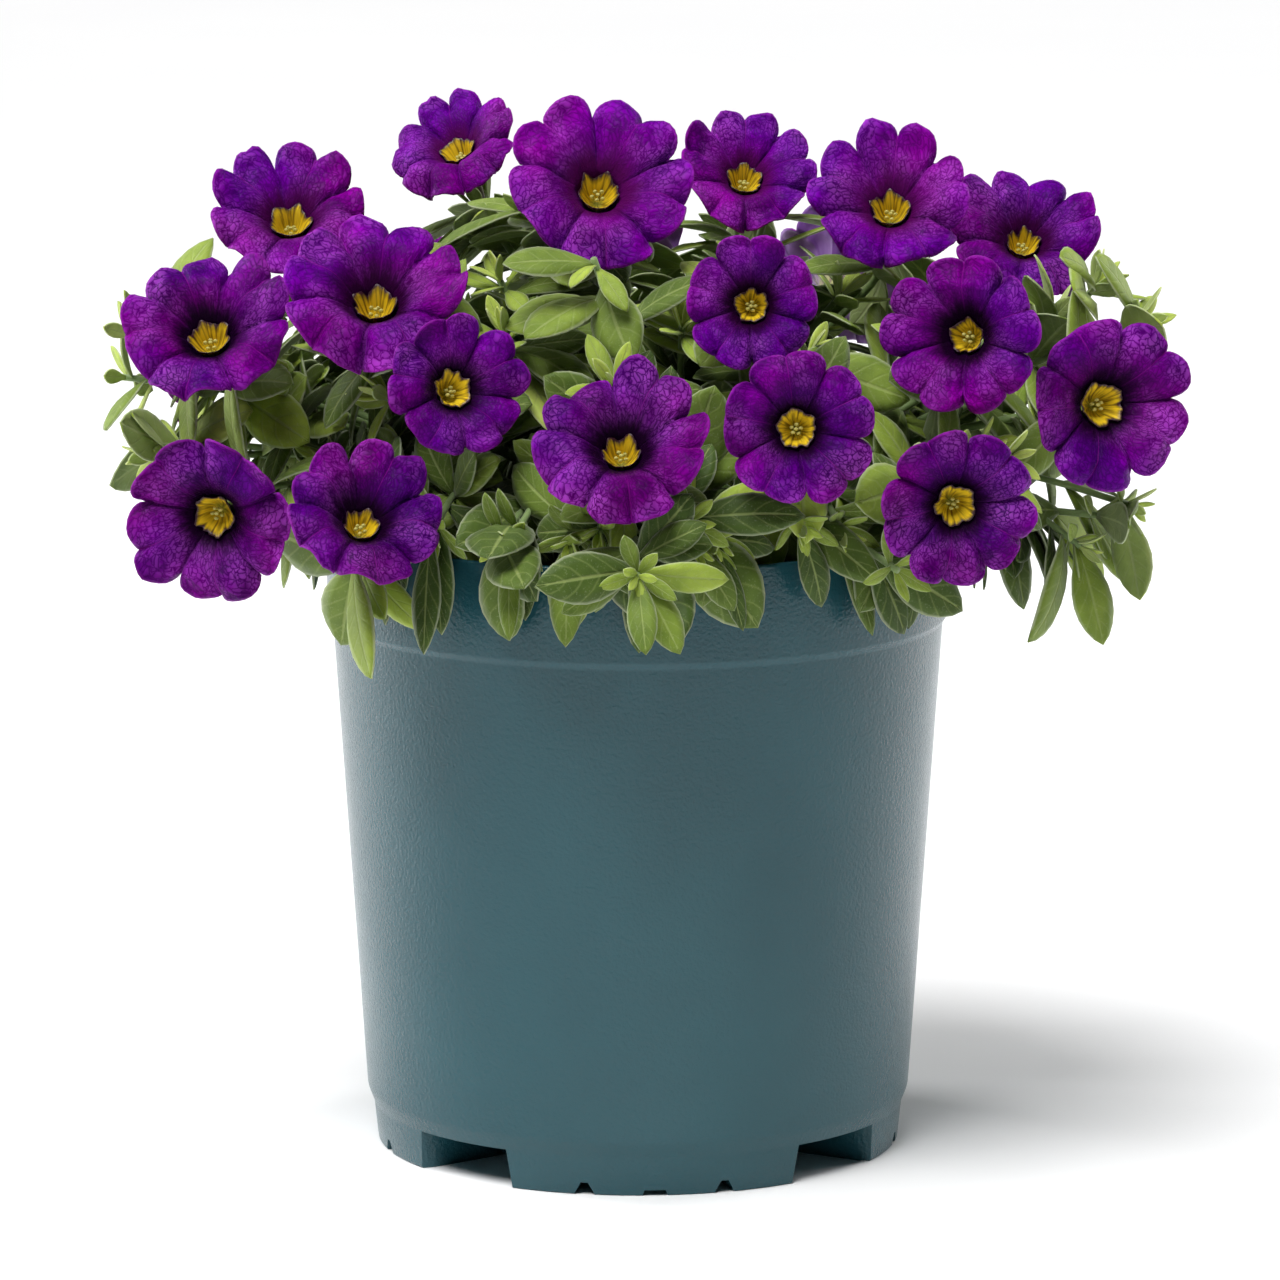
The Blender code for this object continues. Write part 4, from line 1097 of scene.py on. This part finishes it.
def hanging_leaves(stem, shoot, growth, chance):
    """A few slender leaves that hang over the pot's rim from a shoot's end."""
    for number in range(HANGING_LEAVES):
        root = shoot.at(1.0 - 0.12 * number)[0]
        outward = Vector((root.x, root.y, 0)).normalized()
        for _ in range(HANGING_TRIES):
            direction = (Vector((0, 0, -1)) + outward * 0.22 + scattered(chance, 0.22)).normalized()
            face = (outward + direction * -outward.dot(direction)).normalized()
            length = chance.uniform(*HANGING_LENGTH)
            leaf = Leaf(root + outward * 0.5 * MM, direction, face, length, HANGING_BEND)
            leaf.age = OLD_LEAF
            leaf.wide = SLENDER_LEAF
            if growth.leaf_is_clear(stem.name, leaf):
                shoot.leaves.append(leaf)
                break


def thin_shoot(stem, path):
    """Adds a thin shoot along the path to the stem."""
    shoot = Shoot(path)
    shoot.girth = THIN_SHOOT_RADIUS
    stem.shoots.append(shoot)
    return shoot


growth = Growth(list(blooms.values()))
for stem in stems:
    growth.paths.append((stem.name, dense(stem.trunk)))
    for shoot in stem.shoots:
        growth.paths.append((stem.name, dense(shoot.path)))
        for leaf in shoot.leaves:
            growth.leaves.append((stem.name, leaf.samples(), BVHTree.FromPolygons(*leaf.sheet())))
chance = random.Random(11)
for number in range(EXTRA_SHOOTS):
    share = (number + 0.5) / EXTRA_SHOOTS
    course = heading(math.degrees(GOLDEN_ANGLE * number) + 40, math.degrees(math.asin(0.02 + 0.9 * share)))
    end = CROWN + course * chance.uniform(*EXTRA_REACH) * (1 - 0.3 * share)
    stem = max(stems, key=lambda s: s.course.dot(course))
    path = stem.shoot_to(growth, 0.55 + 0.1 * (number % 4), end, course, chance)
    if path:
        thin_shoot(stem, path)
targets = []
for x, y, z, azimuth, elevation in EDGE_SHOOTS:
    targets.append((Vector((x, y, z)) * MM, heading(azimuth, elevation), False))
for azimuth in RIM_SHOOTS:
    end = heading(azimuth, 0) * RIM_SHOOT_PLACE[0]
    end.z = RIM_SHOOT_PLACE[1]
    targets.append((end, heading(azimuth, -50), True))
for end, course, over in targets:
    outward = (end - CROWN).normalized()
    nearest = sorted(stems, key=lambda s: -s.course.dot(outward))[:EXTRA_STEMS]
    for stem in nearest:
        path = stem.shoot_to(growth, 0.75, end, course, chance)
        if path:
            shoot = thin_shoot(stem, path)
            if over:
                hanging_leaves(stem, shoot, growth, chance)
            break
for stem in stems:
    for shoot in stem.shoots:
        extra_leaves(stem, shoot, growth, chance)

# The bare stems, stalks and twigs under the leaves. They are round, soft and green, a little hairy, thinner
# towards their tips, and every one grows out of its stem's trunk, which stands in the soil.
SMOOTHED = 3
TRUNK_TAPER = 0.8


def smoothed(path):
    """The path with points added between its own, on a curve through them."""
    ends = [path[0] * 2 - path[1]] + list(path) + [path[-1] * 2 - path[-2]]
    points = []
    for a, b, c, d in zip(ends, ends[1:], ends[2:], ends[3:]):
        for step in range(SMOOTHED):
            t = step / SMOOTHED
            point = 2 * b + (c - a) * t
            point += (2 * a - 5 * b + 4 * c - d) * t * t
            point += (3 * b - a - 3 * c + d) * t**3
            points.append(point / 2)
    return points + [path[-1]]


def round_stems(name, runs):
    """One mesh for several round stems. Each run is a path, its radius at the start and at the tip."""
    guide = bpy.data.curves.new(name, "CURVE")
    guide.dimensions = "3D"
    guide.bevel_depth = 1.0
    guide.bevel_resolution = 2
    guide.use_fill_caps = True
    for path, radius, tip_radius in runs:
        path = smoothed(path)
        spline = guide.splines.new("POLY")
        spline.points.add(len(path) - 1)
        for step, point in enumerate(path):
            share = step / (len(path) - 1)
            spline.points[step].co = (*point, 1)
            spline.points[step].radius = radius * (1 - share) + tip_radius * share
    drawn = bpy.data.objects.new(name, guide)
    bpy.context.scene.collection.objects.link(drawn)
    bm = bmesh.new()
    bm.from_mesh(bpy.data.meshes.new_from_object(drawn.evaluated_get(bpy.context.evaluated_depsgraph_get())))
    bpy.data.objects.remove(drawn)
    bmesh.ops.remove_doubles(bm, verts=bm.verts, dist=SAME_POINT)
    bmesh.ops.recalc_face_normals(bm, faces=bm.faces)
    return bm


green_stem, tree, shader = finish_named("green_stem")
place = object_place(tree)
green = shades(tree, grain(tree, place, 260, 3), [(0.3, (0.110, 0.180, 0.045)), (0.7, (0.200, 0.290, 0.090))])
tree.links.new(green, shader.inputs["Base Color"])
feel(shader, Roughness=0.6, Sheen_Weight=0.5, Sheen_Tint=(0.90, 0.95, 0.80, 1))
tree.links.new(relief(tree, grain(tree, place, 1800, 2), 0.5, 0.15 * MM), shader.inputs["Normal"])

for stem in stems:
    runs = [(stem.trunk, TRUNK_RADIUS, TRUNK_RADIUS * TRUNK_TAPER)]
    runs += [(shoot.path, shoot.girth, min(shoot.girth, TWIG_TIP_RADIUS)) for shoot in stem.shoots]
    branches = new_piece(f"branches_{stem.name}", round_stems(f"branches_{stem.name}", runs), green_stem)
    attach(branches, "root")
    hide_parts(f"leafy_stem_{stem.name}")

# The leaves, with the buds' rosettes of small young leaves at the shoots' tips and the five narrow sepals
# round each flower's tube. They are soft thin blades with a sunk pale midrib and a hairy margin.
BLADE_COLUMNS = 4
BLADE_ROWS = 8
BLADE_THICKNESS = 0.3 * MM
BLADE_FULLNESS = 1.15
MIDRIB_FOLD = 0.17
MARGIN_ROLL = 0.20
BLADE_WAVE = (60, 0.06)
LEAF_TONES = (0.0, 0.35, 0.70, 1.0)
LEAF_WIDTHS = (0.72, 1.28)
# what a leaf's tone starts from, what is taken off towards its shoot's foot, the painted shade taken off low
# leaves by the rim, the painted light added to leaves at the mound's outer edge, and the random scatter
FULL_GREEN = 0.40
TONE_TO_FOOT = 0.28
PAINTED_SHADE_LOW = 0.28
PAINTED_LIGHT_OUTSIDE = 0.20
TONE_SCATTER = 0.20
LOW_LEAF = 132 * MM
ROSETTE_LEAVES = 8
ROSETTE_LENGTH = (6 * MM, 12.5 * MM)
ROSETTE_SPREAD = (15, 8.5, 13)
ROSETTE_DEPTH = 2.5
ROSETTE_WIDTH = 0.78
# for a rosette over the rim and for one elsewhere: its size, and its youngest leaf's tone
RIM_ROSETTE = (0.78, 0.78)
HIGH_ROSETTE = (1, 0.95)
ROSETTE_AGEING = 0.38
SEPALS = 5
SEPAL_LENGTH = 10.5 * MM
SEPAL_TONE = 0.35
SEPAL_WIDTH = 0.62
CALYX_PLACE = (1.35 * MM, -1.6 * MM)
SEPAL_TIP = (4.6 * MM, 8.2 * MM)


def lay_blade(bm, leaf, tone, width):
    """Adds a leaf's blade: a grid bent to the leaf's course, folded a little along its midrib."""
    blade = bmesh.ops.create_grid(
        bm, x_segments=BLADE_COLUMNS, y_segments=BLADE_ROWS, size=0.5, calc_uvs=True
    )["verts"]
    shade = bm.verts.layers.float["tone"]
    for vert in blade:
        across, t = vert.co.x * 2, 1 - (0.5 - vert.co.y) ** 1.25
        wide = leaf.length * LEAF_SLENDERNESS / 2 * BLADE_FULLNESS * width
        wide *= math.sin(math.pi * t**1.22) ** 0.72 if 0 < t < 1 else 0
        wide = max(wide, 0.45 * MM * (1 - t))
        point = leaf.point(t, 0) + leaf.side * wide * across
        point += leaf.face * wide * (MIDRIB_FOLD * min(1, abs(across) * 2) - MARGIN_ROLL * across**4)
        point += leaf.face * (BLADE_WAVE[1] * leaf.length * t * noise.noise(point * BLADE_WAVE[0]))
        vert.co = point
        vert[shade] = tone


def leaf_finish(name, greens, rib):
    """A downy leaf surface whose green runs with the leaf's tone from old and dull to young; the tone also
    holds painted light and painted shade.
    """
    made, tree, shader = finish_named(name)
    across, along = grown_place(tree)
    place = object_place(tree)
    tone = add_node(tree, "Attribute", {}, attribute_name="tone").outputs["Fac"]
    off_rib = sum_of(tree, "ABSOLUTE", sum_of(tree, "SUBTRACT", across, 0.5))
    mottled = shades(tree, grain(tree, place, 220, 3), [(0.3, (0.62, 0.67, 0.60)), (0.7, (1.0, 1.0, 1.0))])
    green = blended(tree, 1.0, shades(tree, tone, list(zip(LEAF_TONES, greens))), mottled, "MULTIPLY")
    slanted = sum_of(tree, "MULTIPLY_ADD", along, 6, sum_of(tree, "MULTIPLY", off_rib, -3))
    vein = shades(tree, sum_of(tree, "PINGPONG", slanted, 0.5), [(0.0, (1, 1, 1)), (0.12, (0, 0, 0))])
    midrib = shades(tree, off_rib, [(0.016, (1, 1, 1)), (0.045, (0, 0, 0))])
    margin = shades(tree, off_rib, [(0.44, (0, 0, 0)), (0.50, (1, 1, 1))])
    down = shades(tree, grain(tree, place, 2600, 2), [(0.60, (0, 0, 0)), (0.72, (1, 1, 1))])
    pale_marks = (
        (vein, 0.24, rib),
        (midrib, 0.55, rib),
        (margin, 0.42, (0.66, 0.70, 0.52)),
        (down, 0.14, (0.52, 0.58, 0.38)),
    )
    for pattern, strength, colour in pale_marks:
        green = blended(tree, sum_of(tree, "MULTIPLY", pattern, strength), green, colour)
    tree.links.new(green, shader.inputs["Base Color"])
    feel(shader, Roughness=0.58, Specular_IOR_Level=0.22)
    feel(shader, Sheen_Weight=0.16, Sheen_Roughness=0.45, Sheen_Tint=(0.92, 0.96, 0.80, 1))
    feel(shader, Subsurface_Weight=0.10, Subsurface_Radius=(0.7, 1.0, 0.2), Subsurface_Scale=0.8 * MM)
    ribs = relief(tree, sum_of(tree, "ADD", midrib, sum_of(tree, "MULTIPLY", vein, 0.4)), 0.5, -0.25 * MM)
    tree.links.new(relief(tree, grain(tree, place, 1500, 3), 0.4, 0.15 * MM, ribs), shader.inputs["Normal"])
    return made


leaf_face = leaf_finish(
    "leaf_face",
    ((0.055, 0.098, 0.014), (0.165, 0.240, 0.034), (0.400, 0.515, 0.062), (0.700, 0.790, 0.180)),
    (0.330, 0.400, 0.130),
)
leaf_back = leaf_finish(
    "leaf_back",
    ((0.150, 0.200, 0.080), (0.260, 0.320, 0.130), (0.420, 0.510, 0.150), (0.660, 0.740, 0.250)),
    (0.380, 0.430, 0.200),
)

chance = random.Random(23)
for stem in stems:
    foliage = bmesh.new()
    foliage.loops.layers.uv.new("leaf")
    foliage.verts.layers.float.new("tone")
    for shoot in stem.shoots:
        for leaf in shoot.leaves:
            tip = (leaf.root - shoot.path[-1]).length / (shoot.path[0] - shoot.path[-1]).length
            low = leaf.root.z < LOW_LEAF and shoot.bloom is None
            # leaves near the mound's outer edge get painted light in their tone
            outside = min(1, max(0, math.hypot(leaf.root.x, leaf.root.y) / MOUND_REACH - 0.65) * 3)
            # low leaves by the rim, under the mound, get painted shade in their tone
            tone = FULL_GREEN - TONE_TO_FOOT * tip - leaf.age - (PAINTED_SHADE_LOW if low else 0)
            tone = tone + PAINTED_LIGHT_OUTSIDE * outside + chance.gauss(0, TONE_SCATTER)
            lay_blade(foliage, leaf, max(0, min(1, tone)), leaf.wide * chance.uniform(*LEAF_WIDTHS))
        if shoot.bloom:
            bloom = shoot.bloom
            for number in range(SEPALS):
                turn = bloom.roll + 2 * math.pi * (number + chance.uniform(-0.1, 0.1)) / SEPALS
                root = bloom.place(CALYX_PLACE[0], turn, TUBE_ROOT[1] + CALYX_PLACE[1])
                tip = bloom.place(SEPAL_TIP[0], turn, TUBE_ROOT[1] + SEPAL_TIP[1])
                direction = (tip - root).normalized()
                out = (tip - bloom.middle) - bloom.facing * (tip - bloom.middle).dot(bloom.facing)
                face = (direction * out.dot(direction) - out).normalized()
                sepal = Leaf(root, direction, face, SEPAL_LENGTH, chance.uniform(-0.02, 0.12))
                lay_blade(foliage, sepal, SEPAL_TONE, SEPAL_WIDTH)
            continue
        end = shoot.at(1.0)[0]
        tangent = (shoot.path[-1] - shoot.path[-2]).normalized()
        size, youngest = RIM_ROSETTE if end.z < LOW_LEAF else HIGH_ROSETTE
        for number in range(ROSETTE_LEAVES):
            least, step, scatter = ROSETTE_SPREAD
            spread = math.radians(least + step * number + chance.uniform(-scatter, scatter))
            direction = splayed(tangent, GOLDEN_ANGLE * number, spread)
            face = (tangent - direction * tangent.dot(direction)).normalized()
            share = number / (ROSETTE_LEAVES - 1)
            length = (ROSETTE_LENGTH[0] + (ROSETTE_LENGTH[1] - ROSETTE_LENGTH[0]) * share) * size
            root = end - tangent * ROSETTE_DEPTH * MM * share
            young = Leaf(root, direction, face, length, chance.uniform(-0.15, 0.35))
            if inside_cad_box(young.samples()) and growth.clear_of_blooms(young.samples(), 0.4 * MM):
                lay_blade(foliage, young, youngest - ROSETTE_AGEING * share, ROSETTE_WIDTH)
    bmesh.ops.remove_doubles(foliage, verts=foliage.verts, dist=SAME_POINT)
    leaves = new_piece(f"leaves_{stem.name}", foliage, leaf_face, leaf_back)
    give_thickness(leaves, BLADE_THICKNESS)
    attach(leaves, "root")
    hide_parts(f"leafy_stem_{stem.name}")

# The studio: a pale seamless floor, soft light from all round that is stronger behind the pot, a tall softbox
# on each side, and broad daylight from above. The camera stands where the photograph was taken from.
FLOOR_SIZE = 8.0
CAMERA_AIM = Vector((0.0004, 0, 0.0975))
CAMERA_PLACE = Vector((0.0004, -1.3787, 0.3406))
SENSOR_WIDTH = 36
CAMERA_LENS = SENSOR_WIDTH * 7252 / 1280
NEAREST_SEEN = 0.01
SOFTBOXES = (
    # place, width, height and power of each
    ((-1.00, 0.50, 0.50), 0.45, 1.1, 11.0),
    ((1.00, 0.60, 0.55), 0.42, 1.0, 7.0),
)
DAYLIGHT_FROM = Vector((-0.25, -0.45, 1.0))
DAYLIGHT_POWER = 3.8
DAYLIGHT_SPREAD = math.radians(36)


def stand(name, made, place, aim):
    """A lamp or the camera as an object that stands at a place and looks at another."""
    standing = bpy.data.objects.new(name, made)
    standing.location = place
    standing.rotation_euler = (Vector(aim) - Vector(place)).to_track_quat("-Z", "Y").to_euler()
    bpy.context.scene.collection.objects.link(standing)
    return standing


floor_shape = bmesh.new()
bmesh.ops.create_grid(floor_shape, x_segments=1, y_segments=1, size=FLOOR_SIZE / 2)
pale_floor, tree, shader = finish_named("pale_floor")
place = object_place(tree)
paper = shades(tree, grain(tree, place, 3, 2), [(0.3, (0.93, 0.93, 0.935)), (0.7, (0.95, 0.95, 0.95))])
tree.links.new(paper, shader.inputs["Base Color"])
feel(shader, Roughness=0.7)
floor = new_piece("studio_floor", floor_shape, pale_floor)

for number, (place, width, height, power) in enumerate(SOFTBOXES):
    softbox = bpy.data.lights.new(f"softbox_{number}", "AREA")
    softbox.shape = "RECTANGLE"
    softbox.size = width
    softbox.size_y = height
    softbox.energy = power
    stand(f"softbox_{number}", softbox, place, CAMERA_AIM)

daylight = bpy.data.lights.new("daylight", "SUN")
daylight.energy = DAYLIGHT_POWER
daylight.angle = DAYLIGHT_SPREAD
stand("daylight", daylight, (0, 0, 0), -DAYLIGHT_FROM)

sky = bpy.data.worlds.new("studio_sky")
sky.use_nodes = True
tree = sky.node_tree
way = add_node(tree, "SeparateXYZ", {0: add_node(tree, "TexCoord", {}).outputs["Generated"]}).outputs[1]
brighter_behind = {"Value": way, "From Min": -0.35, "From Max": 0.30, "To Min": 0.45, "To Max": 2.2}
walls = add_node(tree, "MapRange", brighter_behind)
tree.links.new(walls.outputs[0], tree.nodes["Background"].inputs["Strength"])
bpy.context.scene.world = sky
bpy.context.scene.view_settings.view_transform = "Standard"

lens = bpy.data.cameras.new("photo_camera")
lens.sensor_width = SENSOR_WIDTH
lens.lens = CAMERA_LENS
lens.clip_start = NEAREST_SEEN
bpy.context.scene.camera = stand("photo_camera", lens, CAMERA_PLACE, CAMERA_AIM)
